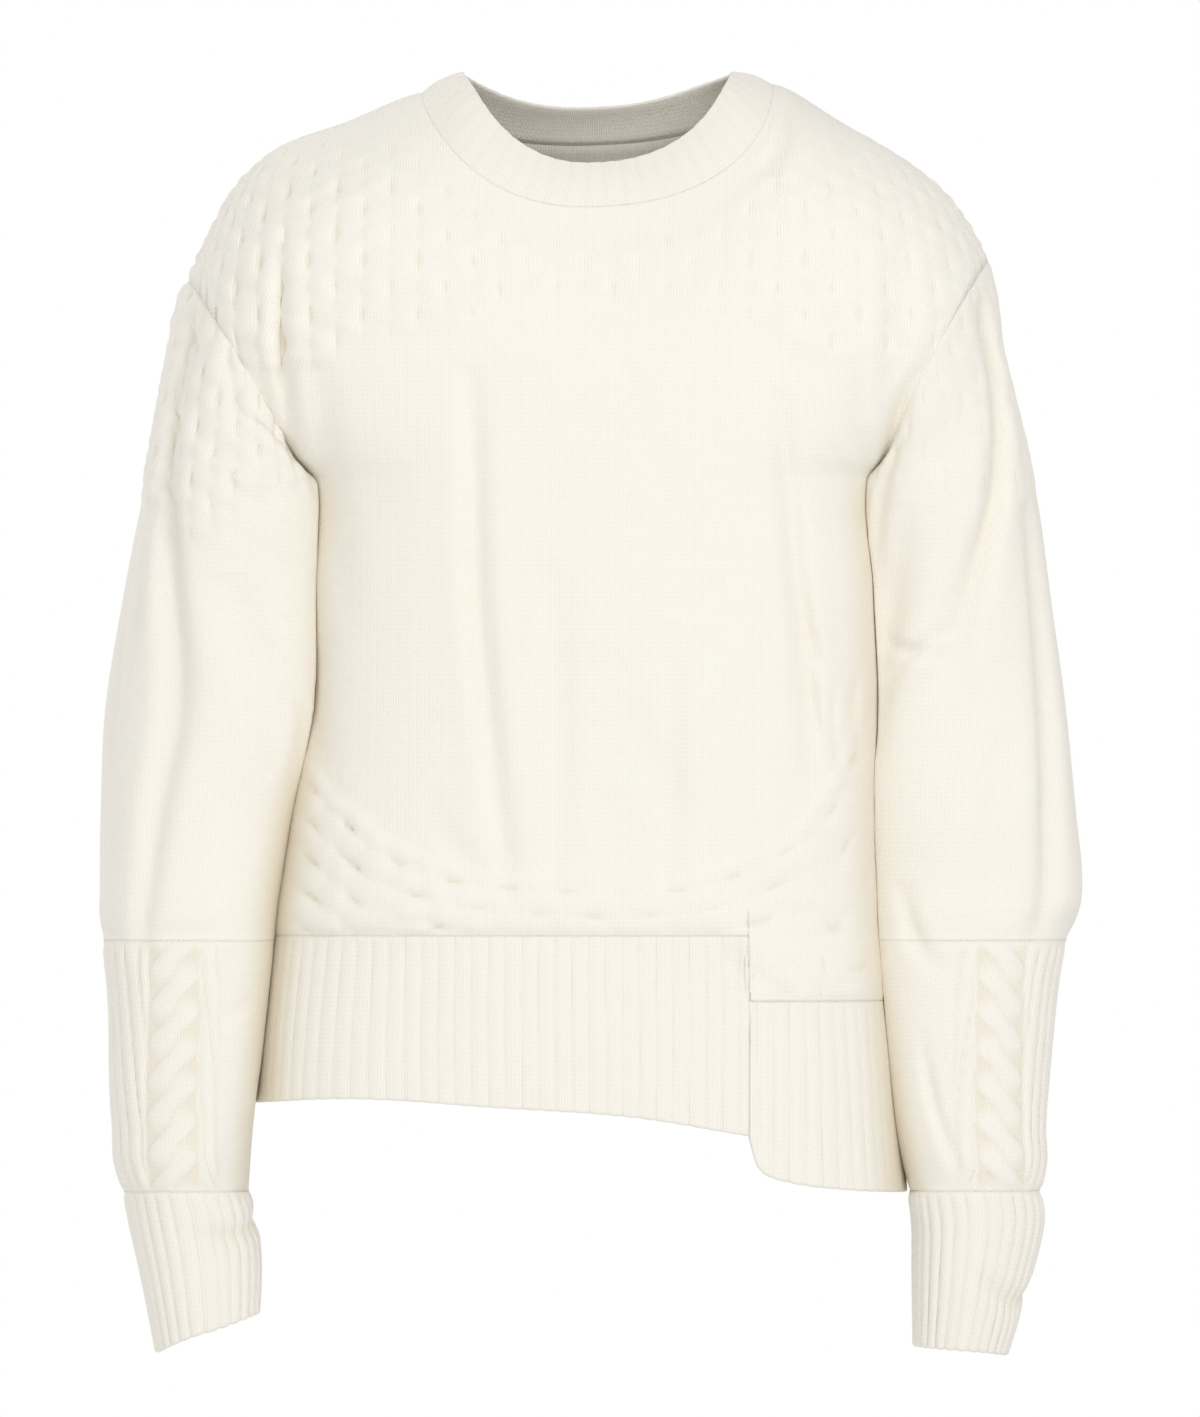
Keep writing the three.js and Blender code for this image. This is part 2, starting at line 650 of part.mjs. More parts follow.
// The side of the body as X at a given depth and height, below the underarm.
function bodySideX(side, y, z) {
  const low = Math.min(z, ARMHOLE[side].underarm.z);
  const left = along(BODY, "z", "left", low);
  const right = along(BODY, "z", "right", low);
  const depth = along(BODY, "z", y < 0 ? "front" : "back", low);
  const middle = (left + right) / 2;
  return lerp(middle, side === "left" ? right : left, superSide(y / depth, BODY_SQUARENESS));
}

// Keeps a sleeve's point clear of the body beside it.
function besideBody(side, p, clearance) {
  const outward = side === "left" ? 1 : -1;
  const least = bodySideX(side, p.y, p.z) + outward * clearance;
  if ((p.x - least) * outward < 0) p.x = least;
  return p;
}

function sleeveFolds(side, turn, z) {
  let sink = 0;
  const degrees = THREE.MathUtils.radToDeg(turn);
  for (const f of SLEEVE_FOLDS[side]) {
    const t = (f.top - z) / (f.top - f.bottom);
    if (t <= 0 || t >= 1) continue;
    const off = ((degrees - f.turn - f.drift * t + 540) % 360) - 180;
    sink += f.depth * bell(off / f.width) * Math.sin(Math.PI * t) ** 0.7;
  }
  return sink;
}

function makeSleeve(side, front, back) {
  const hole = armholeRing(side, front, back);
  const outward = side === "left" ? -1 : 1;
  const coarse = hole.length;
  const holeTurn = (k) => (2 * Math.PI * k) / coarse;
  const holeAt = (turn) => {
    const k = ((turn / (2 * Math.PI)) * coarse + coarse) % coarse;
    const [a, b] = [hole[Math.floor(k) % coarse], hole[Math.ceil(k) % coarse]];
    return a.point.clone().lerp(b.point, k - Math.floor(k));
  };
  const { cap, plain, cabled } = SLEEVE_ROWS;
  const upperShare = (row) =>
    row <= cap ? 0.41 * (row / cap) ** 1.2 : lerp(0.41, 1, (row - cap) / plain);
  const ring = (heightBelow, count) =>
    Array.from({ length: count }, (_, k) => {
      const turn = (2 * Math.PI * k) / count;
      const edge = holeAt(turn);
      const z = heightBelow(edge);
      const s = (edge.z - z) / (edge.z - SLEEVE_END);
      const p = sleeveSection(side, SLEEVE[side], turn, z);
      const start = sleeveSection(side, SLEEVE[side], turn, edge.z);
      const fade = 1 - smooth(s / ARMHOLE_FADE);
      p.x += fade * (edge.x - start.x);
      p.y += fade * (edge.y - start.y);
      besideBody(side, p, ARM_CLEARANCE * smooth(s / 0.06));
      const centre = new THREE.Vector3(
        (along(SLEEVE[side], "z", "outer", z) + along(SLEEVE[side], "z", "inner", z)) / 2,
        (along(SLEEVE[side], "z", "front", z) + along(SLEEVE[side], "z", "back", z)) / 2,
        z,
      );
      const inwards = centre.sub(p).normalize();
      return p.addScaledVector(inwards, sleeveFolds(side, turn, z) * smooth(s / 0.05));
    });
  const upper = Array.from({ length: cap + plain + 1 }, (_, row) =>
    ring((edge) => lerp(edge.z, FOREARM_SEAM, upperShare(row)), coarse),
  );
  const lower = Array.from({ length: cabled + 1 }, (_, row) =>
    ring(() => lerp(FOREARM_SEAM - SEAM_GAP, SLEEVE_END, row / cabled), 2 * coarse),
  );
  const upperNormals = gridNormals(upper, true, outward);
  const lowerNormals = gridNormals(lower, true, outward);
  for (const n of [...upperNormals.at(-1), ...lowerNormals[0]]) n.setZ(0).normalize();
  mitreArmhole(side, front, back, hole, upper[1], outward);
  upper[0] = seamStart(hole, true, (h, k) => upper[1][k].clone().sub(h.point));
  upperNormals[0] = hole.map((h) => h.normal);
  const awayFromBody = (turn) => smooth((1 - Math.cos(turn)) / 0.6);
  const capRise = (row, k) => {
    if (row === 0 || row >= cap) return 0;
    return honeycomb(row, k, awayFromBody(holeTurn(k)));
  };
  // The forearm has a plait in front, and ribs that run down its outer side.
  const lowRise = (row, k) => {
    const turn = (360 * k) / (2 * coarse);
    if (row === 0 || row === cabled) return 0;
    if (turn > 140 && turn < 250) return k % 2 ? 0 : RIB_RISE;
    return honeycomb(row, k >> 1, 0.8 * awayFromBody((Math.PI * turn) / 180));
  };
  const tube = (rows, normals, rise) => {
    const inner = innerRows(movedOut(rows, normals, () => -WALL), SLEEVE_INNER_COLUMNS, true);
    return tubeWall(movedOut(rows, normals, rise), inner, side === "left");
  };
  return {
    upper: tube(upper, upperNormals, capRise),
    forearm: tube(lower, lowerNormals, lowRise),
    end: lower.at(-1).map((point, k) => ({ point, normal: lowerNormals.at(-1)[k] })),
  };
}

// ---- Ribbed bands -----------------------------------------------------------------------

const lengthOf = (line) => line.slice(1).reduce((sum, p, k) => sum + p.distanceTo(line[k]), 0);

// Points evenly spaced along a seam, with the seam's normals between its own points.
function spaced(seam, count, closed) {
  const line = closed ? [...seam, seam[0]] : seam;
  const passed = pace(line.map((s) => s.point));
  return Array.from({ length: count }, (_, k) => {
    const share = k / (closed ? count : count - 1);
    let i = 0;
    while (i < passed.length - 2 && passed[i + 1] < share) i++;
    const t = (share - passed[i]) / (passed[i + 1] - passed[i]);
    const point = line[i].point.clone().lerp(line[i + 1].point, t);
    return { point, normal: line[i].normal.clone().lerp(line[i + 1].normal, t).normalize(), share };
  });
}

// A ribbed band sewn to a seam. The first row has the seam's own points, the others two to a rib.
// `place` gives the band's surface below a point of the seam, at a share of the band's depth.
// A lead, if it is given, is the share down to which the band still has the seam's own points.
function ribbedBand(seam, { closed, outward, turned, shares, pitch, rise, place, level, lead }) {
  const line = seam.map((s) => s.point);
  const ribs = Math.round(lengthOf(closed ? [...line, line[0]] : line) / pitch);
  const top = spaced(seam, closed ? 2 * ribs : 2 * ribs + 1, closed);
  const passed = pace(closed ? [...line, line[0]] : line);
  const rows = shares.map((s) => top.map((t) => place(t, s)));
  const normals = gridNormals(rows, closed, outward);
  if (level) normals.forEach((row, j) => row.forEach((n, i) => level(n, rows[j][i])));
  const below = (s, k) => place({ ...s, share: passed[k] }, 0.1).sub(s.point);
  const first = seamStart(seam, closed, below);
  const inside = (p, k) => p.clone().addScaledVector(seam[k].normal, -WALL);
  const raised = (j, i) => {
    const end = !closed && (i === 0 || i === top.length - 1);
    return end || i % 2 === 0 ? 0 : rise;
  };
  const outer = movedOut(rows, normals, raised);
  const inner = movedOut(rows, normals, () => -WALL).map((row) => thinned(row, ribs, closed));
  const own = lead ? [first, seam.map((s) => place(s, lead))] : [first];
  outer.splice(0, 1, ...own);
  inner.splice(0, 1, ...own.map((row) => row.map(inside)));
  return closed ? tubeWall(outer, inner, turned) : sheetWall(outer, inner, turned);
}

function makeCuff(side, sleeve) {
  const join = (s) => 1 - smooth(s / 0.3);
  const place = ({ point, share }, s) => {
    if (s === 0) return point.clone();
    const turn = 2 * Math.PI * share;
    const atOuter = (1 - Math.cos(turn)) / 2;
    const edge = lerp(CUFF_EDGE[side].inner, CUFF_EDGE[side].outer, atOuter);
    const z = lerp(point.z, edge, s);
    const section = sleeveSection(side, CUFF[side], turn, z);
    const start = sleeveSection(side, CUFF[side], turn, point.z);
    section.x += join(s) * (point.x - start.x);
    section.y += join(s) * (point.y - start.y);
    return section.z < VENT_EDGE.at(-1).z ? section : besideBody(side, section, ARM_CLEARANCE - 2);
  };
  return ribbedBand(sleeve.end, {
    closed: true,
    outward: side === "left" ? -1 : 1,
    turned: side === "left",
    shares: [0, 0.08, 0.5, 1],
    pitch: RIB_PITCH,
    rise: RIB_RISE,
    place,
  });
}

// ---- Neckband ---------------------------------------------------------------------------

function neckSeam(front, back) {
  const last = front.points.length - 1;
  const pick = (panel) =>
    panel.points[last]
      .map((point, i) => ({ point, normal: panel.normals[last][i] }))
      .filter(({ point }) => Math.abs(point.x) <= NECK.halfWidth + 1e-6);
  return [...pick(front), ...pick(back).slice(1, -1).reverse()];
}

function makeNeckband(front, back) {
  const edgeAbove = (point) => {
    const rise = point.y < 0 ? NECK_EDGE.frontRise : NECK_EDGE.backRise;
    const round = smooth(Math.abs(point.y) / (point.y < 0 ? 75 : 55));
    const z = lerp(NECK_EDGE.pointHeight, point.z + rise, round);
    const narrow = NECK_EDGE.halfWidth / NECK.halfWidth;
    return new THREE.Vector3(point.x * narrow, point.y * NECK_EDGE.lean, z);
  };
  const place = ({ point, normal }, s) =>
    point.clone().lerp(edgeAbove(point), s).addScaledVector(normal, 1.5 * Math.sin(Math.PI * s));
  return ribbedBand(neckSeam(front, back), {
    closed: true,
    outward: 1,
    turned: false,
    shares: [0, 0.2, 0.6, 1],
    lead: 0.1,
    pitch: NECK_RIB_PITCH,
    rise: NECK_RIB_RISE,
    place,
  });
}

// ---- Hem --------------------------------------------------------------------------------

// One ribbed band, sewn to part of a panel's bottom edge between two X.
function makeHem(panel, from, to, edgeTable, lift = 0) {
  const seam = panel.points[0]
    .map((point, i) => ({ point: point.clone(), normal: panel.normals[0][i] }))
    .filter(({ point }) => point.x >= from - 1e-3 && point.x <= to + 1e-3);
  if (to === VENT_X) seam.at(-1).point.x -= 2 * SEAM_GAP;
  const onSideSeam = (p) => Math.abs(p.y) < 2 * HALF_SEAM;
  const place = ({ point }, s) => {
    const z = lerp(point.z - SEAM_GAP, along(edgeTable, "x", "z", point.x), s);
    const column = point.x < 0 ? "left" : "right";
    const spread = along(BODY, "z", column, z) / along(BODY, "z", column, point.z);
    const x = point.x * lerp(1, spread, smooth((Math.abs(point.x) - 100) / 60));
    if (s === 0) return new THREE.Vector3(point.x, point.y, z);
    const depth = onSideSeam(point) ? HALF_SEAM : bodyDepth(panel.face, x, z) + HALF_SEAM;
    return new THREE.Vector3(x, panel.sign * (depth + lift * smooth(s / 0.4)), z);
  };
  return ribbedBand(seam, {
    closed: false,
    outward: panel.sign,
    turned: panel.face === "front",
    shares: [0, 0.07, 0.5, 1],
    pitch: RIB_PITCH,
    rise: RIB_RISE,
    place,
    level: (n, p) => onSideSeam(p) && n.setY(0).normalize(),
  });
}

// ---- The garment ------------------------------------------------------------------------

const CREAM = 0xf4efe2;

function mesh(name, geometry, colour = CREAM) {
  const material = new THREE.MeshStandardMaterial({ color: colour, roughness: 0.95, metalness: 0 });
  const made = new THREE.Mesh(geometry, material);
  made.name = name;
  return made;
}

const front = panelSurface("front");
const back = panelSurface("back");
const sweater = new THREE.Group();
for (const side of ["right", "left"]) {
  const sleeve = makeSleeve(side, front, back);
  sweater.add(mesh(`sleeve_${side}`, sleeve.upper));
  sweater.add(mesh(`forearm_${side}`, sleeve.forearm));
  sweater.add(mesh(`cuff_${side}`, makeCuff(side, sleeve)));
}
sweater.add(mesh("front_panel", panelWall(front)));
sweater.add(mesh("back_panel", panelWall(back)));
sweater.add(mesh("neckband", makeNeckband(front, back)));
sweater.add(mesh("hem_front", makeHem(front, -400, VENT_X, HEM_EDGE)));
sweater.add(mesh("hem_side", makeHem(front, VENT_X + VENT_RAMP / 2, 400, VENT_EDGE, VENT_LIFT)));
sweater.add(mesh("hem_back", makeHem(back, -400, 400, BACK_HEM_EDGE)));

export default sweater;
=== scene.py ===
"""A knitted pullover sweater, worn and hollow: the knit itself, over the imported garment.

Lengths are in millimetres until a mesh is made. The front faces -Y, +X is the wearer's left and
+Z is up. Each piece is a wall: an outer face of fine points with cable, plait, rib and crease
raised in them, a plain inner face, and rounded free edges.
"""

import math

import bpy
import numpy as np
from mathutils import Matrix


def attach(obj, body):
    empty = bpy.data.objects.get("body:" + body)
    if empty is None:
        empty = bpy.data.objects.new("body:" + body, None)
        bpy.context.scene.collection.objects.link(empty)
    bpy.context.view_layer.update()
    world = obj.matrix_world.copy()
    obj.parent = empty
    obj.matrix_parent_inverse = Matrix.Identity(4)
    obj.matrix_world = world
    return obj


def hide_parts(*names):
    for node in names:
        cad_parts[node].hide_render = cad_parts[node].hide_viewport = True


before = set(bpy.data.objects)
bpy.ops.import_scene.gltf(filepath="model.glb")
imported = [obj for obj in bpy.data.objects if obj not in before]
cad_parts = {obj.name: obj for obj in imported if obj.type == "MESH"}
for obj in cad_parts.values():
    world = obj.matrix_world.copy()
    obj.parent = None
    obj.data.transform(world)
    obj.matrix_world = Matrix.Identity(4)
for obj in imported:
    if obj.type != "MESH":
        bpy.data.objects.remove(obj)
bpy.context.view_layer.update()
MM = 0.001

# ---- Sizes of the garment

WALL = 2.6  # thickness of the knit between its raised stitches
SEAM_GAP = -0.12  # sewn edges lie a hair over each other
HALF_SEAM = SEAM_GAP / 2
BODY_SQUARENESS = 3.0  # of the body's sections under the arms
YOKE_SQUARENESS = 2.6  # and over the chest
SHOULDER_ROUND = 200, 88  # radius over the shoulders, at the neck and at the arms
SLEEVE_SQUARENESS = 2.3
ARM_CLEARANCE = 0.5
ARM_DEGREE = 0.87  # length of one degree round an arm

WALE = 3.2  # one column of stitches
COURSE = 2.65  # one row of stitches
ROPE_PITCH = 5 * WALE
ROPE_PERIOD = 12 * COURSE
ROPE_SWING = 2.1
ROPE_HALF = 9.3
ROPE_RISE = 2.9
BAND_ROPE_PITCH = 13.8
RIB_PITCH = 3 * WALE
RIB_RISE = 1.0
CUFF_RIB_RISE = 1.8
NECK_RIB_PITCH = 12.0
NECK_RIB_RISE = 0.45
PLAIT_TWIST = 8 * COURSE
PLAIT_HALF = 7.0
PLAIT_STRAND = 8.0
PLAIT_RISE = 2.4
PLAIN_RISE = 0.12  # of the wales in plain knit
LAID_FLAT = 0.8  # share of the stitches' rise that is lost where a sleeve and the body touch
FOLD_SHADE, CREASE_SHADE, INNER_SHADE = 0.4, 0.45, 0.1
SEAM_FADE = 5  # from a seam to where the stitches stand out in full
SEWN_RISE = 0.8  # how far the outer faces of two sewn pieces stand out where they meet
NECK_SEWN_RISE = 0.3  # and at the neck, where they meet at an angle

VENT_X = 88.0
VENT_RAMP = 0.2
VENT_LIFT = 1.2
HEM_HIGH, HEM_LOW = -500.0, -538.0
UNDERARM_Z = -236
FOREARM_SEAM = -503.0
SLEEVE_END = -648.0
ARMHOLE_FADE = 0.11  # share of the sleeve over which it grows out of the armhole's shape
UNDERARM_FADE = 0.035  # and under the arm
NECK_HALF = 102.0
NECK_POWER = 2.3
NECK_STEPS, SHOULDER_STEPS = 10, 12  # columns of half a panel at its top
LOWER_SHARE = 0.6  # how far up a panel its underarms are
OUTLINE_FADE = 40  # folds and creases of the body grow over this depth behind its outline
NECK_POINT = {"right": -12.0, "left": -7.0}
NECK_EDGE_HALF = 79.0
NECK_EDGE_Z = 0.5  # the band's edge at the shoulders
NECK_EDGE_FALL = 1.1  # and how far it has fallen 30 in front of them or behind
NECK_LEAN = 0.82

INNER_STEP = 4  # the inner face has every fourth point of the outer one
CHART_POINTS = 400  # each way
FINE_LINE, FINE_RING = 3001, 4001  # points of a seam before they are spaced evenly
LIP_ROWS = 6
GRID = {  # rows and columns of the outer faces
    "front": (297, 305),
    "back": (257, 257),
    "sleeve": (209, 232),
    "forearm": (89, 260),
    "cuff": (57, 260),
    "neckband": (25, 480),
    "hem_front": (61, 393),
    "hem_side": (61, 157),
    "hem_back": (61, 561),
}
SIGN = {"front": -1, "back": 1}  # of Y


def table(columns, *rows):
    """Rows of numbers under named columns, sorted by the first column."""
    return dict(zip(columns.split(), np.array(sorted(rows), float).T))


def folds_of(*rows):
    """Folds, in the order given."""
    return [dict(zip(("width", "depth", "path"), row)) for row in rows]


def creases_of(*rows):
    """Creases, in the order given."""
    return [dict(zip(("start", "end", "width", "depth"), row)) for row in rows]


BODY = table(
    "z right left front back",
    (-60, -262, 254, 126, 116),
    (-120, -262, 252, 128, 120),
    (-165, -244, 236, 130, 122),
    (-200, -212, 203, 130, 122),
    (-222, -187, 178, 130, 121),
    (-236, -172, 163, 130, 120),
    (-300, -171, 166, 129, 119),
    (-370, -173, 167, 127, 120),
    (-440, -183, 166, 126, 123),
    (-500, -192, 168, 126, 126),
    (-560, -199, 173, 129, 130),
    (-650, -202, 180, 132, 134),
)
SHOULDER = table(
    "x z",
    (-250, -146), (-236, -121), (-225, -98), (-210, -70), (-186, -45), (-145, -29), (-102, -12),
    (-40, -4), (40, -4), (102, -7), (141, -29), (182, -54), (208, -79), (226, -109), (240, -135),
)
ARMHOLE = {
    "right": {"underarm": (-172, UNDERARM_Z), "tip": (-236, -121)},
    "left": {"underarm": (163, UNDERARM_Z), "tip": (226, -109)},
}
ARMHOLE_BOW = -5
NECK = {
    "front": {"drop": 69, "left": 0.5, "right": 0.7, "rise": 25},
    "back": {"drop": 30, "left": 0.7, "right": 0.7, "rise": 20},
}
HEM_EDGE = table(
    "x z", (-205, -596.5), (-140, -592.5), (-60, -597.5), (20, -603), (VENT_X, -614)
)
VENT_EDGE = table(
    "x z",
    (VENT_X, -616),
    (VENT_X + 5, -632),
    (VENT_X + 20, -640),
    (VENT_X + 50, -645),
    (185, -648),
)
BACK_HEM_EDGE = table(
    "x z", (-205, -594), (-140, -587), (-60, -590), (60, -601), (130, -622), (185, -648)
)
SLEEVE = {
    "right": table(
        "z outer inner front back",
        (-110, -229, -166, -70, 70),
        (-132, -240, -163, -78, 76),
        (-160, -246, -160, -82, 76),
        (-225, -259, -149, -92, 68),
        (-300, -273.5, -147, -90, 56),
        (-370, -284, -150, -90, 44),
        (-430, -287.5, -172, -92, 30),
        (-480, -287, -183, -100, 16),
        (-540, -282.5, -189, -104, 2),
        (-600, -279.5, -198, -106, -12),
        (-650, -273, -202, -104, -22),
    ),
    "left": table(
        "z outer inner front back",
        (-100, 219, 162, -66, 70),
        (-132, 229.5, 158, -76, 76),
        (-160, 235, 154, -78, 78),
        (-225, 250.5, 143, -86, 76),
        (-300, 262, 140, -80, 70),
        (-370, 271, 140, -76, 62),
        (-430, 278, 142, -76, 54),
        (-475, 280, 145, -72, 46),
        (-510, 269, 150, -74, 38),
        (-560, 263, 160, -78, 26),
        (-610, 258.5, 170, -80, 16),
        (-650, 256, 182, -80, 8),
    ),
}
CUFF = {
    "right": table(
        "z outer inner front back",
        (-648, -273, -200, -103, -22),
        (-664, -270, -197.5, -102, -26),
        (-695, -263, -195.5, -100, -32),
        (-738, -254.5, -198, -98, -38),
    ),
    "left": table(
        "z outer inner front back",
        (-648, 256, 183, -79, 8),
        (-664, 258, 184, -77, 3),
        (-695, 251, 184, -74, -4),
        (-741, 237, 184.5, -70, -12),
    ),
}
CUFF_EDGE = {"right": (-717, -739), "left": (-736, -741)}  # inner side, outer side
PLAITS = {"right": (98, 262), "left": (112, 248)}  # degrees round the arm
CAP_STRENGTH = {"right": 0.95, "left": 0.35}  # of the honeycomb on the sleeves

# Long soft folds of the body, each a trough: width, depth, and the path of (x, z) down it.
BODY_FOLDS = {
    "front": folds_of(
        (7.5, 7.5, [(-73, -170), (-71, -230), (-69, -306), (-60, -400), (-51, -480)]),
        (9, 3.2, [(-24, -285), (-22, -380), (-24, -482)]),
        (9, 3.2, [(41, -318), (43, -400), (40, -502)]),
        (7.5, 8, [(106, -184), (112, -260), (118, -330), (124, -416)]),
        (10, 5, [(-162, -168), (-155, -240), (-146, -324)]),
        (5.5, 6, [(-182, -96), (-180, -170), (-176, -234)]),
        (9, 3.5, [(-156, -300), (-158, -380), (-154, -446)]),
        (9, 6, [(176, -82), (172, -150), (168, -228)]),
        (8, 4, [(146, -340), (150, -390), (146, -446)]),
        (7, 4, [(119, -8), (113, -30), (101, -60)]),
    ),
    "back": folds_of(
        (10, 6, [(-96, -146), (-88, -300), (-76, -474)]),
        (9, 3.6, [(-38, -236), (-34, -360), (-36, -492)]),
        (10, 3.4, [(22, -166), (16, -300), (18, -444)]),
        (10, 5.4, [(84, -214), (74, -340), (62, -500)]),
        (8, 5, [(-182, -96), (-178, -160), (-172, -226)]),
        (8, 5, [(176, -92), (172, -160), (166, -224)]),
        (9, 4, [(-150, -260), (-154, -340), (-148, -452)]),
        (9, 4.4, [(140, -280), (146, -380), (142, -470)]),
    ),
}
# The same of the sleeves, with a path of (turn, z). Turn is degrees round the arm: 0 at the
# body, 90 front, 180 outside.
SLEEVE_FOLDS = {
    "right": folds_of(
        (8, 8.5, [(140, -106), (139, -190), (136, -240), (116, -330), (111, -380), (114, -450),
            (122, -520)]),
        (10, 4.5, [(94, -290), (78, -340), (54, -410)]),
        (8, 3.5, [(166, -240), (160, -340), (156, -452)]),
        (12, 5, [(215, -170), (222, -320), (224, -476)]),
        (10, 4, [(262, -230), (256, -330), (262, -440)]),
        (12, 5, [(300, -210), (292, -360), (284, -520)]),
    ),
    "left": folds_of(
        (7.5, 9.5, [(142, -98), (139, -178), (128, -230), (108, -282), (96, -317), (84, -366)]),
        (8, 9, [(152, -246), (146, -364), (137, -440), (132, -506)]),
        (10, 6, [(72, -250), (60, -320), (46, -400)]),
        (9, 3, [(112, -380), (104, -430), (100, -490)]),
        (12, 5, [(222, -190), (214, -340), (212, -484)]),
        (10, 4, [(258, -250), (266, -350), (262, -450)]),
        (12, 5, [(296, -230), (302, -380), (310, -540)]),
    ),
}
# The lower edge of the plain window: the honeycomb over the hem runs along it.
ARCH = table(
    "x z",
    (-205, -352), (-175, -392), (-150, -420), (-123, -445), (-90, -459), (-56, -465), (2, -468),
    (60, -464), (100, -449), (128, -424), (146, -384), (164, -330),
)

# Short creases of the body: from (x, z), to (x, z), width and depth.
BODY_CREASES = {
    "front": creases_of(
        ((-181, -118), (-178, -196), 4, 3.2),
        ((-196, -186), (-176, -222), 3.5, 2.6),
        ((-160, -330), (-158, -402), 5, 2.4),
        ((188, -166), (163, -252), 5, 5.4),
        ((150, -170), (158, -236), 7, 2.2),
        ((116, -14), (108, -46), 5, 3.4),
        ((107, -44), (96, -60), 6, 2.4),
        ((124, -330), (136, -404), 4, 2.6),
        ((138, -352), (142, -412), 3.6, 3),
        ((150, -346), (152, -404), 3.6, 3.2),
        ((120, -300), (134, -352), 5, 2.8),
        ((-98, -420), (-60, -470), 8, 1.6),
        ((20, -350), (60, -440), 13, 1.4),
    ),
    "back": creases_of(
        ((-170, -130), (-166, -220), 5, 3.4),
        ((168, -140), (158, -228), 5, 3),
        ((-60, -50), (60, -56), 12, 1.6),
        ((-140, -330), (-128, -420), 7, 2.4),
        ((132, -310), (120, -430), 7, 2.6),
        ((60, -420), (20, -486), 10, 1.6),
    ),
}
# The same of the sleeves, from (turn, z) to (turn, z).
SLEEVE_CREASES = {
    "right": creases_of(
        ((126, -140), (96, -204), 5, 4.6),
        ((98, -196), (48, -232), 4, 3.8),
        ((154, -112), (148, -188), 4.5, 4),
        ((150, -176), (150, -262), 4.5, 4),
        ((150, -146), (132, -168), 3.4, 2.8),
        ((150, -196), (128, -214), 3.4, 2.8),
        ((150, -236), (132, -252), 3.4, 2.6),
        ((152, -262), (150, -350), 5, 2.4),
        ((70, -330), (38, -412), 7, 2.8),
        ((60, -492), (118, -498), 7, 1.8),
        ((40, -536), (74, -548), 7, 1.6),
        ((240, -300), (262, -380), 8, 2.6),
        ((220, -470), (270, -492), 8, 2.2),
    ),
    "left": creases_of(
        ((146, -116), (150, -190), 6, 3.6),
        ((76, -196), (52, -300), 6, 3.6),
        ((56, -330), (92, -338), 5, 3),
        ((92, -322), (60, -352), 5, 2.6),
        ((60, -470), (78, -520), 6, 4),
        ((128, -484), (168, -496), 8, 2.4),
        ((66, -560), (84, -640), 5, 2.6),
        ((238, -280), (262, -370), 8, 2.6),
        ((214, -470), (262, -500), 8, 2.4),
    ),
}

# ---- Small mathematics


def lerp(a, b, t):
    """From a at 0 to b at 1."""
    return a + (b - a) * t


def smooth(t):
    """From 0 to 1, level at both ends: 3 t^2 - 2 t^3."""
    t = np.clip(t, 0, 1)
    return t * t * (3 - 2 * t)


def bell(t):
    """exp(-t^2)"""
    return np.exp(-t * t)


def along(rows, column, at):
    """A table's column at places along its first one: a cubic with central slopes at the rows."""
    knots, values = next(iter(rows.values())), rows[column]
    k = np.arange(len(knots))
    before, after = np.maximum(k - 1, 0), np.minimum(k + 1, len(knots) - 1)
    slopes = (values[after] - values[before]) / (knots[after] - knots[before])
    at = np.clip(at, knots[0], knots[-1])
    i = np.clip(np.searchsorted(knots, at) - 1, 0, len(knots) - 2)
    span = knots[i + 1] - knots[i]
    t = (at - knots[i]) / span
    ends = values[i] * (1 - t) ** 2 * (1 + 2 * t) + values[i + 1] * t**2 * (3 - 2 * t)
    return ends + span * t * (1 - t) * (slopes[i] * (1 - t) - slopes[i + 1] * t)


def super_side(share, power):
    """The side of a superellipse: (1 - |share|^power)^(1/power)."""
    return (1 - np.minimum(1, np.abs(share)) ** power) ** (1 / power)


def lesser(a, b, soft):
    """The lesser of two, rounded where they cross: -soft log(exp(-a/soft) + exp(-b/soft))."""
    return -soft * np.logaddexp(-a / soft, -b / soft)


def scatter(*keys):
    """A number from 0 to 1 that looks random, the same each time for the same whole keys."""
    mixed = sum(k * f for k, f in zip(keys, (12.9898, 78.233, 37.719)))
    return np.modf(np.abs(np.sin(mixed) * 43758.5453))[0]


def wander(a, b, size, seed=0):
    """A slow uneven wave over a surface, from -1 to 1: three crossed sines of unlike lengths."""
    s = 2 * math.pi / size
    one = np.sin(s * (a + 0.37 * b) + seed)
    two = np.sin(s * (0.61 * b - 0.44 * a) * 1.37 + 2.1 * seed + 1)
    three = np.sin(s * (0.83 * a + 0.9 * b) * 0.71 + 3.7 * seed + 2)
    return (one + two + three) / 3


def joined(x, y, z):
    return np.stack(np.broadcast_arrays(x, y, z), axis=-1)


def wrapped(grid):
    """A ring's grid with its first column again after its last."""
    return np.concatenate([grid, grid[:, :1]], axis=1)


def unit(vectors):
    return vectors / np.maximum(np.linalg.norm(vectors, axis=-1, keepdims=True), 1e-9)


# ---- The body's surface


def body_sides(z):
    """X of the body's outline, on the wearer's right and left."""
    return along(BODY, "right", z), along(BODY, "left", z)


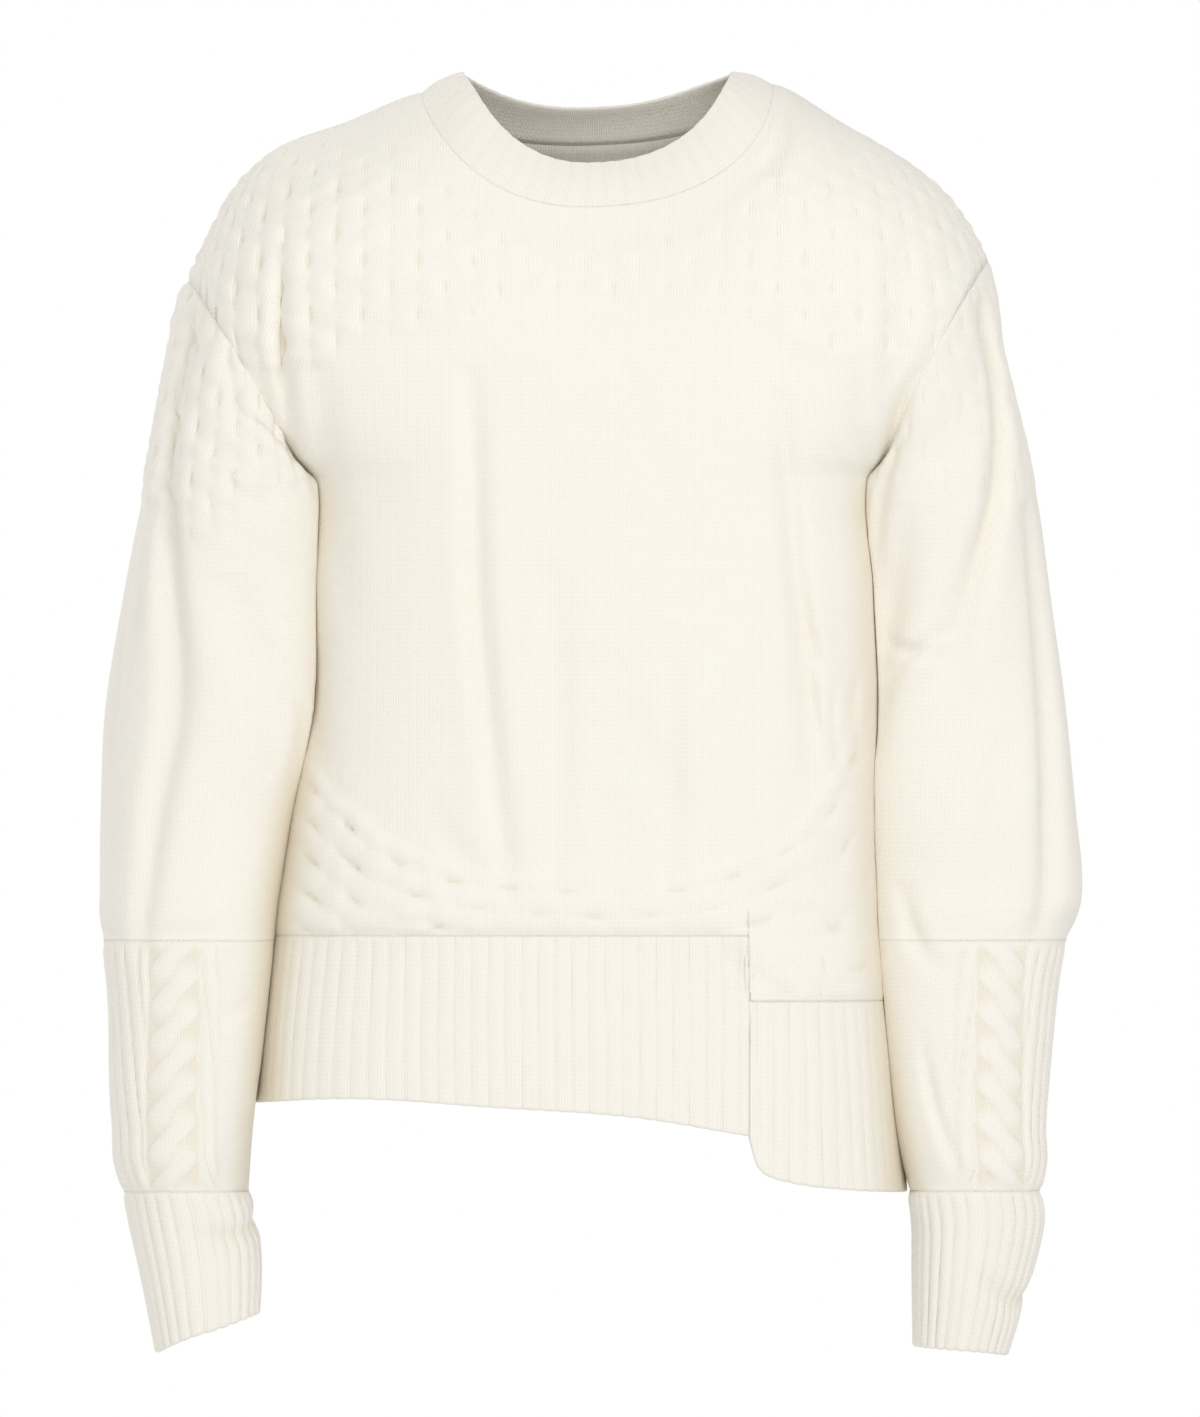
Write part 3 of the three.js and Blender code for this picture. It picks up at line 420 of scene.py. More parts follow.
def body_depth(face, x, z):
    """Depth of the front or back behind the outline: a superellipse across, times a quarter
    ellipse over the shoulders, whose radius shrinks from the neck to the arms."""
    low, high = body_sides(z)
    middle = (low + high) / 2
    share = np.where(x < middle, (middle - x) / (middle - low), (x - middle) / (high - middle))
    radius = lerp(*SHOULDER_ROUND, smooth(np.abs(x) / 165))
    below = np.clip((along(SHOULDER, "z", x) - z) / radius, 0, 1)
    over = np.sqrt(np.maximum(0, 1 - (1 - below) ** 2))
    power = lerp(BODY_SQUARENESS, YOKE_SQUARENESS, smooth((z + 240) / 100))
    return along(BODY, face, z) * super_side(share, power) * over


def long_folds(rows, a, b, scale=1.0):
    """Sum over the folds of a trough round the path a(b), a bell across less a wider bell, so
    that it has a low ridge on both sides, fading at its ends as sin(pi t)^0.6."""
    sink = np.zeros(np.broadcast(a, b).shape)
    for f in rows:
        path = table("b a", *((z, x) for x, z in f["path"]))
        t = np.clip((b - path["b"][0]) / np.ptp(path["b"]), 0, 1)
        off = (a - along(path, "a", b)) * scale / f["width"]
        trough = 1.25 * bell(off) - 0.35 * bell(off / 2.2)
        sink += f["depth"] * trough * np.sin(math.pi * t) ** 0.6
    return sink


def creases(rows, a, b, scale=1.0):
    """Sum of short creases on a surface with coordinates a, b: each a slightly bowed trough with
    a bell section, tapered to its ends, and a lower, wider ridge beside it. `scale` turns the
    first coordinate into millimetres."""
    a, total = a * scale, np.zeros_like(a)
    for c in rows:
        (a0, b0), (a1, b1) = ((p * scale, q) for p, q in (c["start"], c["end"]))
        run_a, run_b, width = a1 - a0, b1 - b0, c["width"]
        reach = np.hypot(run_a, run_b)
        t = ((a - a0) * run_a + (b - b0) * run_b) / reach**2
        bow = 0.06 * reach * np.sin(math.pi * np.clip(t, 0, 1))
        off = ((a - a0) * run_b - (b - b0) * run_a) / reach - bow
        taper = np.sin(math.pi * np.clip((t + 0.12) / 1.24, 0, 1)) ** 1.3
        trough = bell(off / width) - 0.42 * bell(off / (2.3 * width))
        total += c["depth"] * 1.5 * taper * trough
    return total


def neck_seam_z(face, x):
    """Height of the neck seam: the line of the neck points less drop (1 - share^power)^square."""
    n = NECK[face]
    share = np.minimum(1, np.abs(x) / NECK_HALF)
    square = np.where(x < 0, n["right"], n["left"])
    chord = lerp(NECK_POINT["right"], NECK_POINT["left"], smooth((x / NECK_HALF + 1) / 2))
    return chord - n["drop"] * (1 - share**NECK_POWER) ** square


def panel_top_z(face, x):
    """Height of a panel's upper edge: its neck seam, and the shoulders beyond it."""
    return np.where(np.abs(x) <= NECK_HALF, neck_seam_z(face, x), along(SHOULDER, "z", x))


def below_neck(face, x, z):
    """How far a place lies below the neck seam, or below its end for a place beside it."""
    return panel_top_z(face, np.clip(x, -NECK_HALF, NECK_HALF)) - z


def panel_bottom_z(face, x, climb):
    """The hem seam. The front steps down at the vent, and the step spreads out higher up."""
    if face == "back":
        return lerp(HEM_HIGH, HEM_LOW, smooth((x - 50) / 120))
    step = np.where(x > VENT_X + VENT_RAMP / 2, 1.0, 0.0)
    eased = smooth((x - 45) / 90)
    return lerp(HEM_HIGH, HEM_LOW, lerp(step, eased, smooth(climb / 0.14)))


def panel_edge(side, t):
    """The edge at t: 0 to 1 up the side seam, then 1 to 2 round the armhole."""
    (under_x, under_z), (tip_x, tip_z) = (ARMHOLE[side][end] for end in ("underarm", "tip"))
    seam_z = lerp(HEM_LOW if side == "left" else HEM_HIGH, under_z, np.minimum(t, 1))
    turn = (1 - np.cos(math.pi * np.maximum(t - 1, 0))) / 2
    bow = ARMHOLE_BOW * np.sin(math.pi * turn) * np.sign(tip_x)
    above = t > 1
    x = np.where(above, lerp(under_x, tip_x, turn) + bow, along(BODY, side, seam_z))
    return x, np.where(above, lerp(under_z, tip_z, turn), seam_z)


def column_x(u, end, rise):
    """X of a column: a sine across below, and at the top a sine to the neck point, then even
    steps along the shoulder."""
    share = np.abs(u) * (NECK_STEPS + SHOULDER_STEPS) / NECK_STEPS
    neck = np.sign(end) * NECK_HALF
    top = neck * np.sin(math.pi / 2 * np.minimum(1, share))
    top = top + (end - neck) * np.maximum(0, share - 1) / (SHOULDER_STEPS / NECK_STEPS)
    return lerp(np.sin(math.pi / 2 * np.abs(u)) * end, top, rise)


def vent_share(x):
    """The column, from -1 to 1, that meets the hem at x on the vent's side."""
    return math.asin(x / along(BODY, "left", HEM_LOW)) * 2 / math.pi


def panel_columns(face, count):
    """Columns from -1 to 1. On the front two of them stand at the two sides of the vent."""
    if face == "back":
        return np.linspace(-1, 1, count)
    near, far = vent_share(VENT_X), vent_share(VENT_X + VENT_RAMP)
    before = round(count * (near + 1) / 2)
    return np.concatenate([np.linspace(-1, near, before), np.linspace(far, 1, count - before)])


def panel_places(face, rows, columns):
    """X and Z over a panel's grid. A row runs from side to side, level in the middle and drawn
    to its own ends at the sides. Rows climb from the hem seam to the shoulders and neck: half of
    them up to the underarms, and half above."""
    u = panel_columns(face, columns)[None, :]
    t = np.linspace(0, 2, rows)[:, None]
    right, left = panel_edge("right", t), panel_edge("left", t)
    end_x, end_z = (np.where(u < 0, r, l) for r, l in zip(right, left))
    rise = np.clip(t - 1, 0, 1)
    x = column_x(u, end_x, rise)
    tip_x = np.where(u < 0, ARMHOLE["right"]["tip"][0], ARMHOLE["left"]["tip"][0])
    beyond = np.abs(u) * (NECK_STEPS + SHOULDER_STEPS) - NECK_STEPS
    top = panel_top_z(face, lerp(column_x(u, tip_x, 1.0), x, smooth(beyond / 3)))
    top = np.where(np.abs(x) > NECK_HALF, np.minimum(top, along(SHOULDER, "z", x)), top)
    bottom = panel_bottom_z(face, x[:1], t)
    middle, ridge = (
        np.where(t < 1, LOWER_SHARE * t, lerp(LOWER_SHARE, 1, above))
        for above in (rise, np.sin(math.pi / 2 * rise))
    )
    climb = lerp(middle, ridge, smooth(np.abs(u) / 0.5))
    hold = 1 - smooth((np.abs(u) - 0.5) / 0.5) * (1 - smooth((rise - 0.6) / 0.4))
    z = lerp(end_z, lerp(bottom, top, climb), hold)
    z[:, 0], z[:, -1] = right[1][:, 0], left[1][:, 0]
    return x, z


def blouse(x, z):
    """The plain body swells a little over the ribbed hem, which holds it in."""
    seam = lerp(HEM_HIGH, HEM_LOW, smooth((x - 60) / 60))
    return 3.2 * bell((z - seam - 16) / 15) - 1.2 * bell((z - seam) / 5)


def panel_base(face, x, z):
    """A panel's surface under its stitches: the body's depth less folds and creases, which fade
    out towards the outline and the neck seam."""
    depth = body_depth(face, x, z)
    near_neck = smooth(below_neck(face, x, z) / 26)
    steady = smooth(depth / OUTLINE_FADE) * lerp(near_neck, 1, smooth((np.abs(x) - 112) / 20))
    sink = long_folds(BODY_FOLDS[face], x, z) + creases(BODY_CREASES[face], x, z) - blouse(x, z)
    roll = 0.9 * wander(x, z, 95, 1.7 if face == "front" else 4.1)
    depth = np.maximum(depth - (sink - roll) * steady, 0) + HALF_SEAM
    return joined(x, SIGN[face] * depth, z)


def own_side_y(face, x, z):
    """Y of a panel's edge, which never crosses the garment's middle."""
    nearer = np.minimum if face == "front" else np.maximum
    return nearer(panel_base(face, x, z)[..., 1], 0)


# ---- Knit patterns


def cloth_chart(face):
    """Lengths over the body's surface, across from x 0 and up from z -300, on an even lattice."""
    x = np.linspace(BODY["right"].min(), BODY["left"].max(), CHART_POINTS)
    z = np.linspace(BODY["z"].min(), SHOULDER["z"].max(), CHART_POINTS)
    depth = body_depth(face, x[None, :], z[:, None])
    on_shoulder = smooth((z[1:, None] + 170) / 12)
    steps = np.hypot(np.diff(depth, axis=1), np.diff(x)[None, :])
    across = np.pad(np.cumsum(steps, axis=1), ((0, 0), (1, 0)))
    across -= across[:, np.argmin(np.abs(x))][:, None]
    steps = np.hypot(np.diff(depth, axis=0) * on_shoulder, np.diff(z)[:, None])
    up = np.pad(np.cumsum(steps, axis=0), ((1, 0), (0, 0)))
    up -= up[np.argmin(np.abs(z + 300))][None, :]
    return {"x": x, "z": z, "across": across, "up": up}


def on_chart(chart, column, x, z):
    """A chart's column at (x, z), linear between the lattice's points."""
    fx = np.interp(x, chart["x"], np.arange(len(chart["x"])))
    fz = np.interp(z, chart["z"], np.arange(len(chart["z"])))
    i, k = (np.minimum(f.astype(int), CHART_POINTS - 2) for f in (fx, fz))
    a, b = fx - i, fz - k
    v = chart[column]
    low = lerp(v[k, i], v[k, i + 1], a)
    return lerp(low, lerp(v[k + 1, i], v[k + 1, i + 1], a), b)


def along_arch(x, z):
    """Coordinates of the honeycomb over the hem: the distance square to the arch, and the length
    along it, both taken from the arch's slope at x."""
    step = np.linspace(-210, 210, 841)
    height = along(ARCH, "z", step)
    slope = np.gradient(height, step)
    run = np.cumsum(np.hypot(1, slope)) * (step[1] - step[0])
    height, slope, run = (np.interp(x, step, values) for values in (height, slope, run))
    below = (height - z) * (1 / np.hypot(1, slope))
    return below, run - below * slope


def honeycomb(across, up):
    """Ropes of a honeycomb cable, from 0 to about 1. Rope k runs at
    across = pitch k + (-1)^k swing cos(2 pi up / period), and rises as (1 - (d/half)^2)^0.6 of
    the distance d from that line, a little more where it crosses over its neighbour."""
    turn = 2 * math.pi * up / ROPE_PERIOD
    steep = ROPE_SWING * 2 * math.pi / ROPE_PERIOD * np.sin(turn)
    square_on = 1 / np.sqrt(1 + steep**2)
    first = np.floor(across / ROPE_PITCH)
    height = np.zeros_like(across)
    for k in (-1, 0, 1, 2):
        rope = first + k
        side = np.where(rope % 2 == 0, 1, -1)
        line = ROPE_PITCH * rope + side * ROPE_SWING * np.cos(turn)
        line = line + 0.8 * np.sin(up / 19 + 5 * scatter(rope))
        off = (across - line) * square_on / ROPE_HALF
        over = 1 + 0.16 * side * np.cos(2 * turn) + 0.10 * np.sin(up / 31 + 6 * scatter(rope, 3))
        height = np.maximum(height, over * np.clip(1 - off**2, 0, 1) ** 0.6)
    return height


def pit(height):
    """How deep between raised stitches a place is: 0 above half height, 1 at the bottom."""
    return np.clip(1 - 2 * height, 0, 1)


def rope_shift(across, up):
    """How far the stitches of a honeycomb lean sideways, so that they follow its ropes."""
    swing = np.cos(math.pi * across / ROPE_PITCH) * np.cos(2 * math.pi * up / ROPE_PERIOD)
    return ROPE_SWING * swing


def stitched(across, up, wale=WALE):
    """Lengths over a surface, counted in wales and courses."""
    return np.stack([across / wale, up / COURSE], axis=-1)


def wales(across):
    """The low columns of plain knit, |cos(pi across / 2 wale)|."""
    return np.abs(np.cos(math.pi * across / (2 * WALE)))


def ribs(across, up, pitch):
    """Round-topped ribs with narrow furrows, |cos(pi across / pitch)|^0.55, each of its own
    height and never quite straight."""
    across = across + 0.35 * np.sin(up / 17 + across / 41)
    rib = np.round(across / pitch)
    own = 0.86 + 0.28 * scatter(rib, 5)
    return own * np.abs(np.cos(math.pi * across / pitch)) ** 0.55


def plait(off, up):
    """Two strands that wind round each other: at half cos(pi up / twist) and opposite, each
    as high as its turn brings it to the front."""
    height = np.zeros_like(off)
    for start in (0, math.pi):
        turn = math.pi * up / PLAIT_TWIST + start
        lift = 0.56 + 0.44 * np.sin(turn)
        strand = (off - PLAIT_HALF * np.cos(turn)) / PLAIT_STRAND
        height = np.maximum(height, lift * np.clip(1 - strand**2, 0, 1) ** 0.6)
    return height


# ---- Meshes


def outward_normals(points, away, closed):
    """Unit normals of a grid, on the side of `away`."""
    if closed:
        wide = np.concatenate([points[:, -1:], points, points[:, :1]], axis=1)
        across = np.gradient(wide, axis=1)[:, 1:-1]
    else:
        across = np.gradient(points, axis=1)
    n = unit(np.cross(across, np.gradient(points, axis=0)))
    facing = np.sum(n * away, axis=-1).mean()
    return n if facing > 0 else -n


def level(normals, place, axis):
    """Turns the normals at a place square to one axis, so that two sewn edges stand out the same
    way."""
    flat = normals[place].copy()
    flat[..., axis] = 0
    normals[place] = unit(flat)


def from_edge(points, axis, last=False):
    """Distance along the grid's lines from their first points, or from their last."""
    steps = np.linalg.norm(np.diff(points, axis=axis), axis=-1)
    pad = [(1, 0) if k == axis else (0, 0) for k in (0, 1)]
    reach = np.pad(np.cumsum(steps, axis=axis), pad)
    total = reach[-1:] if axis == 0 else reach[:, -1:]
    return total - reach if last else reach


def lip(points, normals, rise):
    """Rows that round the last edge over from the outer face to the inner one: a half circle as
    wide as the wall and its raised stitches are thick."""
    normal, stand = normals[-1], rise[-1][:, None]
    down = points[-1] - points[-2]
    down = unit(down - np.sum(down * normal, axis=-1)[:, None] * normal)
    thick = WALL + stand
    centre = points[-1] + (stand - thick / 2) * normal
    angles = np.linspace(0, math.pi, LIP_ROWS + 2)[1:-1]
    return [centre + thick / 2 * (np.cos(a) * normal + np.sin(a) * down) for a in angles]


def quads(grid, turned):
    """Faces of a grid of point numbers."""
    corners = [grid[:-1, :-1], grid[:-1, 1:], grid[1:, 1:], grid[1:, :-1]]
    faces = np.stack(corners, axis=-1).reshape(-1, 4)
    return faces[:, ::-1] if turned else faces


def rim(outer, inner, cuts, turned):
    """Faces between an outer edge and the fewer points of the inner one. Cut j is the place in
    the outer edge that meets inner point j."""
    faces = []
    for j in range(len(inner) - 1):
        face = [*outer[cuts[j] : cuts[j + 1] + 1], inner[j + 1], inner[j]]
        faces.append(face[::-1] if turned else face)
    return faces


def added(name, data):
    """A new object in the scene."""
    thing = bpy.data.objects.new(name, data)
    bpy.context.scene.collection.objects.link(thing)
    return thing


def wall_mesh(name, base, normals, rise, stitches, hollow, closed, free, step_at):
    """A piece: its outer face (base moved out by rise), a rounded lip if its last row is free,
    the inner face one wall further in, and the edges between them. All but the edges, and the
    narrow faces before column step_at, are smooth."""
    outer, uv, painted_shade = base + rise[..., None] * normals, stitches, hollow
    if free:
        rows = lip(base, normals, rise)
        stitch = np.array([0, COURSE / WALL * 0.5])
        outer = np.concatenate([outer, rows])
        uv = np.concatenate([uv, [uv[-1] + stitch * (k + 1) for k in range(len(rows))]])
        painted_shade = np.concatenate([painted_shade, [painted_shade[-1]] * len(rows)])
    inner = (base - WALL * normals)[::INNER_STEP, ::INNER_STEP]
    inner_uv = stitches[::INNER_STEP, ::INNER_STEP]
    vertex_of = [np.arange(f[..., 0].size).reshape(f.shape[:2]) for f in (outer, inner)]
    vertex_of[1] += vertex_of[0].size
    if closed:  # the last column meets the first one, whose stitches are a whole turn further on
        vertex_of = [wrapped(v) for v in vertex_of]
        step = np.median(np.diff(uv, axis=1), axis=1)[:, None]
        uv = np.concatenate([uv, uv[:, -1:] + step], axis=1)
        step = INNER_STEP * step[: len(base) : INNER_STEP]
        inner_uv = np.concatenate([inner_uv, inner_uv[:, -1:] + step], axis=1)
    # A corner's number is its place in o or i, which leads to its vertex and its stitch.
    o, i = (np.arange(v.size).reshape(v.shape) for v in vertex_of)
    i = i + o.size
    vertex_of = np.concatenate([v.ravel() for v in vertex_of])
    uv_of = np.concatenate([uv.reshape(-1, 2), inner_uv.reshape(-1, 2)])

    across, up = (np.gradient(outer, axis=a)[2, 2:-2] for a in (1, 0))
    turned = np.sum(np.cross(across, up) * normals[2, 2:-2]) < 0
    row_cuts = np.arange(i.shape[0]) * INNER_STEP
    row_cuts[-1] = o.shape[0] - 1
    column_cuts = np.arange(i.shape[1]) * INNER_STEP
    loose = rim(o[0], i[0], column_cuts, not turned) + rim(o[-1], i[-1], column_cuts, turned)
    if not closed:
        loose += rim(o[:, 0], i[:, 0], row_cuts, turned)
        loose += rim(o[:, -1], i[:, -1], row_cuts, not turned)
    four = np.concatenate([quads(o, turned), quads(i, not turned)])
    corners = np.concatenate([four.ravel(), *loose]).astype(np.int32)
    sizes = np.concatenate([np.full(len(four), 4), [len(f) for f in loose]])
    starts = np.concatenate([[0], np.cumsum(sizes)[:-1]])
    points = np.concatenate([outer.reshape(-1, 3), inner.reshape(-1, 3)]) * MM

    mesh = bpy.data.meshes.new(name)
    for things, count, label, values, kind in (
        (mesh.vertices, len(points), "co", points, np.float32),
        (mesh.loops, len(corners), "vertex_index", vertex_of[corners], np.int32),
        (mesh.polygons, len(sizes), "loop_start", starts, np.int32),
    ):
        things.add(count)
        things.foreach_set(label, values.astype(kind).ravel())
    mesh.update(calc_edges=True)
    layer = mesh.uv_layers.new(name="stitches")
    layer.uv.foreach_set("vector", uv_of[corners].astype(np.float32).ravel())
    # The hollow attribute is painted shade for the wool: warmer in pits, creases, folds and
    # between pieces, and a light painted shade (INNER_SHADE) on the inner face.
    shade = mesh.attributes.new("hollow", "FLOAT", "POINT")
    shades = np.concatenate([painted_shade.ravel(), np.full(inner[..., 0].size, INNER_SHADE)])
    shade.data.foreach_set("value", shades.astype(np.float32))
    smooth_faces = np.arange(len(sizes)) < len(four)
    if step_at:
        face_of = np.arange((o.shape[0] - 1) * (o.shape[1] - 1)).reshape(-1, o.shape[1] - 1)
        smooth_faces[face_of[:, step_at - 1]] = False
    mesh.polygons.foreach_set("use_smooth", smooth_faces)
    mesh.validate()
    return added(name, mesh)


def add_piece(node, material, *surface, closed=False, free=False, step_at=None):
    """Makes a node's piece from its surface (base, normals, rise, stitches, hollow), fastens it
    to the garment and gives it its wool."""
    name = "knit_" + node.removesuffix("_panel")
    piece = wall_mesh(name, *surface, closed, free, step_at)
    piece.data.materials.append(material)
    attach(piece, "root")
    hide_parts(node)


def seam_dip(distance, depth):
    """The cloth rolls in towards a sewn edge."""
    return -depth * bell(distance / 2.2)


def beside_sleeve(x, z):
    """Warm shade on the body where a sleeve hangs against it: full in the last 6 before its
    outline, gone 26 from it, and setting in over 30 from just above the underarm."""
    low, high = body_sides(z)
    side = np.minimum(x - low, high - x)
    return smooth((26 - side) / 20) * smooth((UNDERARM_Z + 10 - z) / 30)


# ---- Front and back


def yoke_weight(face, x, z):
    """How far the upright honeycomb is raised: not at all under its edge, which is higher in the
    middle, most over the shoulders, and not at the neck seam."""
    edge = -184 + 50 * bell((x + 8) / 120) + 5 * wander(x, z, 60, 3)
    shoulder = smooth((np.abs(x + 20) - 90) / 60)
    if face == "front":
        strong = lerp(0.65, 1.05, shoulder) * lerp(1, 0.5, smooth(x / 70))
    else:
        strong = lerp(0.6, 0.9, shoulder)
    weight = strong * smooth((z - edge) / 14) * lerp(0.4, 1, smooth((-z - 36) / 36))
    return weight * smooth((below_neck(face, x, z) - 16) / 16)


def band_weight(face, x, z, below):
    """How far the honeycomb over the hem is raised, from its arch downwards."""
    strong = lerp(1.1, 0.6, smooth((x + 120) / 90)) if face == "front" else 0.7
    return strong * smooth((below + 6 + 4 * wander(x, z, 50, 5)) / 9)


def make_panel(face, material):
    """The front or back: upright honeycomb yoke, plain window, and a band of honeycomb over the
    hem whose ropes follow its arch."""
    rows, columns = GRID[face]
    x, z = panel_places(face, rows, columns)
    base = panel_base(face, x, z)
    parts, step_at = [base], None
    if face == "front":
        vent = vent_share(VENT_X + VENT_RAMP / 2)
        step_at = np.count_nonzero(panel_columns(face, columns) < vent)
        parts = [base[:, :step_at], base[:, step_at:]]
    outward = np.array([0, SIGN[face], 0])
    normals = np.concatenate([outward_normals(p, outward, False) for p in parts], axis=1)
    level(normals, 0, 2)
    level(normals, np.s_[: rows // 2 + 1, [0, -1]], 1)
    level(normals, (-1, np.abs(x[-1]) >= NECK_HALF - 1), 1)
    chart = cloth_chart(face)
    across, up = (on_chart(chart, column, x, z) for column in ("across", "up"))
    yoke = yoke_weight(face, x, z)
    below, run = along_arch(x if face == "front" else -0.8 * x, z)
    band = band_weight(face, x, z, below)
    cells = honeycomb(across, up)
    ropes = honeycomb(below * ROPE_PITCH / BAND_ROPE_PITCH, run)
    plain = 1 - np.clip(yoke + band, 0, 1)
    sides = np.minimum(from_edge(base, 1), from_edge(base, 1, True))
    hem, top = from_edge(base, 0), from_edge(base, 0, True)
    hold = smooth(np.minimum(np.minimum(sides, hem), top) / SEAM_FADE)
    from_neckband = top + 20 * smooth((np.abs(x) - NECK_HALF) / 6)
    sewn = lerp(NECK_SEWN_RISE, SEWN_RISE, smooth(from_neckband / SEAM_FADE))
    rise = ROPE_RISE * (yoke * cells + band * ropes) + PLAIN_RISE * wales(across) * plain
    beside = beside_sleeve(x, z)
    rise = (lerp(sewn, rise, hold) + seam_dip(hem, 0.1)) * (1 - LAID_FLAT * beside)
    # Painted shade: hollow tints the wool warmer in the pits between cable ropes, in folds and
    # creases, and where a sleeve hangs against the body.
    folds = np.clip((long_folds(BODY_FOLDS[face], x, z) - 2) / 6, 0, 1)
    trough = np.clip(creases(BODY_CREASES[face], x, z) / 4, 0, 1) + FOLD_SHADE * folds
    pits = yoke * pit(cells) + band * pit(ropes)
    hollow = np.clip(pits * hold + CREASE_SHADE * trough + beside, 0, 1)
    stitches = stitched(across - rope_shift(across, up) * yoke, up)
    add_piece(
        f"{face}_panel", material, base, normals, rise, stitches, hollow, step_at=step_at
    )


# ---- Sleeves and cuffs


def section(rows, turn, z):
    """A sleeve's section: a superellipse between its inner, outer, front and back."""
    outer, inner, front, back = (along(rows, c, z) for c in ("outer", "inner", "front", "back"))
    power = 2 / SLEEVE_SQUARENESS
    c, s = np.cos(turn), np.sin(turn)
    x = (outer + inner) / 2 + (inner - outer) / 2 * np.sign(c) * np.abs(c) ** power
    y = (front + back) / 2 - (back - front) / 2 * np.sign(s) * np.abs(s) ** power
    return x, y


def armhole_point(side, turn):
    """The armhole seam at a turn: up its front edge from 0 to pi, down its back edge to 2 pi."""
    t = 1 + np.where(turn <= math.pi, turn, 2 * math.pi - turn) / math.pi
    x, z = panel_edge(side, t)
    y = np.where(turn <= math.pi, *(own_side_y(face, x, z) for face in SIGN))
    return x, y, z


def beside_body(side, x, y, z, clearance):
    """Keeps a sleeve clear of the body beside it."""
    outward = 1 if side == "left" else -1
    low = np.minimum(z, UNDERARM_Z)
    depth = np.where(y < 0, along(BODY, "front", low), along(BODY, "back", low))
    middle, edge = sum(body_sides(low)) / 2, along(BODY, side, low)
    least = lerp(middle, edge, super_side(y / depth, BODY_SQUARENESS)) + outward * clearance
    return np.where((x - least) * outward < 0, least, x)


def sleeve_sink(side, turn, z):
    """Folds and creases of a sleeve. The turn goes from -30 to 330 degrees, so that no fold
    crosses its ends."""
    degrees = (np.degrees(turn) + 30 + 0 * z) % 360 - 30
    folds = long_folds(SLEEVE_FOLDS[side], degrees, z, ARM_DEGREE)
    return folds + creases(SLEEVE_CREASES[side], degrees, z, ARM_DEGREE)


def sleeve_base(side, turn, share, bottom=SLEEVE_END, top=None):
    """A sleeve's surface under its stitches, from the armhole (or a level) down to a level: its
    section at each height, moved to meet the armhole at the top, kept clear of the body, swollen
    over its seams, and sunk towards its middle by folds and creases."""
    edge_x, edge_y, edge_z = armhole_point(side, turn)
    z = lerp(edge_z if top is None else top, bottom, share)
    share = (edge_z - z) / (edge_z - SLEEVE_END)
    x, y = section(SLEEVE[side], turn, z)
    start_x, start_y = section(SLEEVE[side], turn, edge_z)
    fade = 1 - smooth(share / lerp(UNDERARM_FADE, ARMHOLE_FADE, smooth(1 - np.cos(turn))))
    x, y = x + fade * (edge_x - start_x), y + fade * (edge_y - start_y)
    x = beside_body(side, x, y, z, ARM_CLEARANCE * smooth(share / 0.06))
    ends = ("outer", "inner"), ("front", "back")
    middle = [sum(along(SLEEVE[side], end, z) for end in pair) / 2 for pair in ends]
    point = joined(x, y, z)
    roll = 0.8 * wander(np.degrees(turn), z, 90, 2.2 if side == "left" else 5.3)
    swell = 2.4 * bell((z - SLEEVE_END - 18) / 14) - 0.8 * bell((z - SLEEVE_END) / 5)
    swell = swell + 1.2 * bell((z - FOREARM_SEAM - 14) / 13) - 0.8 * bell((z - FOREARM_SEAM) / 6)
    sink = (sleeve_sink(side, turn, z) - roll - swell) * smooth(share / 0.05)
    sink = lerp(sink, np.maximum(sink, 0), smooth((np.cos(turn) - 0.3) / 0.4))
    return point + unit(joined(*middle, z) - point) * sink[..., None]


def ring(columns):
    """Turns of a ring's columns."""
    return (2 * math.pi * np.arange(columns) / columns)[None, :]


def tube_normals(base, sewn):
    """Outward normals of a tube, level at its sewn rows."""
    normals = outward_normals(base, base - base.mean(axis=1, keepdims=True), True)
    level(normals, sewn, 2)
    return normals


def around_sleeve(base):
    """Distance round each ring from the outside of the arm."""
    around = from_edge(wrapped(base), 1)
    return around[:, :-1] - around[:, [base.shape[1] // 2]]


def whole_ribs(base, pitch, multiple=1):
    """Length round a ring, made even and stretched to a whole number of ribs."""
    columns = base.shape[1]
    count = multiple * round(from_edge(wrapped(base), 1)[0, -1] / pitch / multiple)
    return np.arange(columns)[None, :] / columns * count * pitch + 0 * base[..., 0]


def beside_trunk(turn):
    """Shade on a sleeve's inner side, where it hangs against the body."""
    return smooth((np.cos(turn) - 0.55) / 0.4)


def sleeve_trough(side, turn, z):
    """How deep in a sleeve's folds a place is, from 0 to 1."""
    return np.clip((sleeve_sink(side, turn, z) - 3) / 6, 0, 1)


def make_sleeve(side, material):
    """A sleeve: honeycomb over its cap, and plain down to the forearm."""
    rows, columns = GRID["sleeve"]
    turn, share = ring(columns), (np.linspace(0, 1, rows) ** 1.06)[:, None]
    base = sleeve_base(side, turn, share, FOREARM_SEAM)
    across, z = around_sleeve(base), base[..., 2]
    down, up = from_edge(base, 0), from_edge(base, 0, True)
    cap = CAP_STRENGTH[side] * smooth((1 - np.cos(turn)) / 0.6)
    cap = cap * smooth((z + 262 - 26 * wander(across, z, 80, 2)) / 24)
    cells = honeycomb(across, up)
    hold = smooth(np.minimum(down, up) / 4)
    beside = beside_trunk(turn) * smooth(down / 40)
    rise = ROPE_RISE * cap * cells + PLAIN_RISE * wales(across) * (1 - cap)
    rise = lerp(SEWN_RISE, rise, hold) * (1 - LAID_FLAT * beside)
    # Painted shade: hollow tints the wool warmer between the cap's ropes, in folds, and on the
    # inner side against the body.
    shade = FOLD_SHADE * sleeve_trough(side, turn, z) + beside
    hollow = np.clip(cap * pit(cells) * hold + shade, 0, 1)
    stitches = stitched(across - rope_shift(across, up) * cap, up)
    surface = base, tube_normals(base, [-1]), rise, stitches, hollow
    add_piece(f"sleeve_{side}", material, *surface, closed=True)


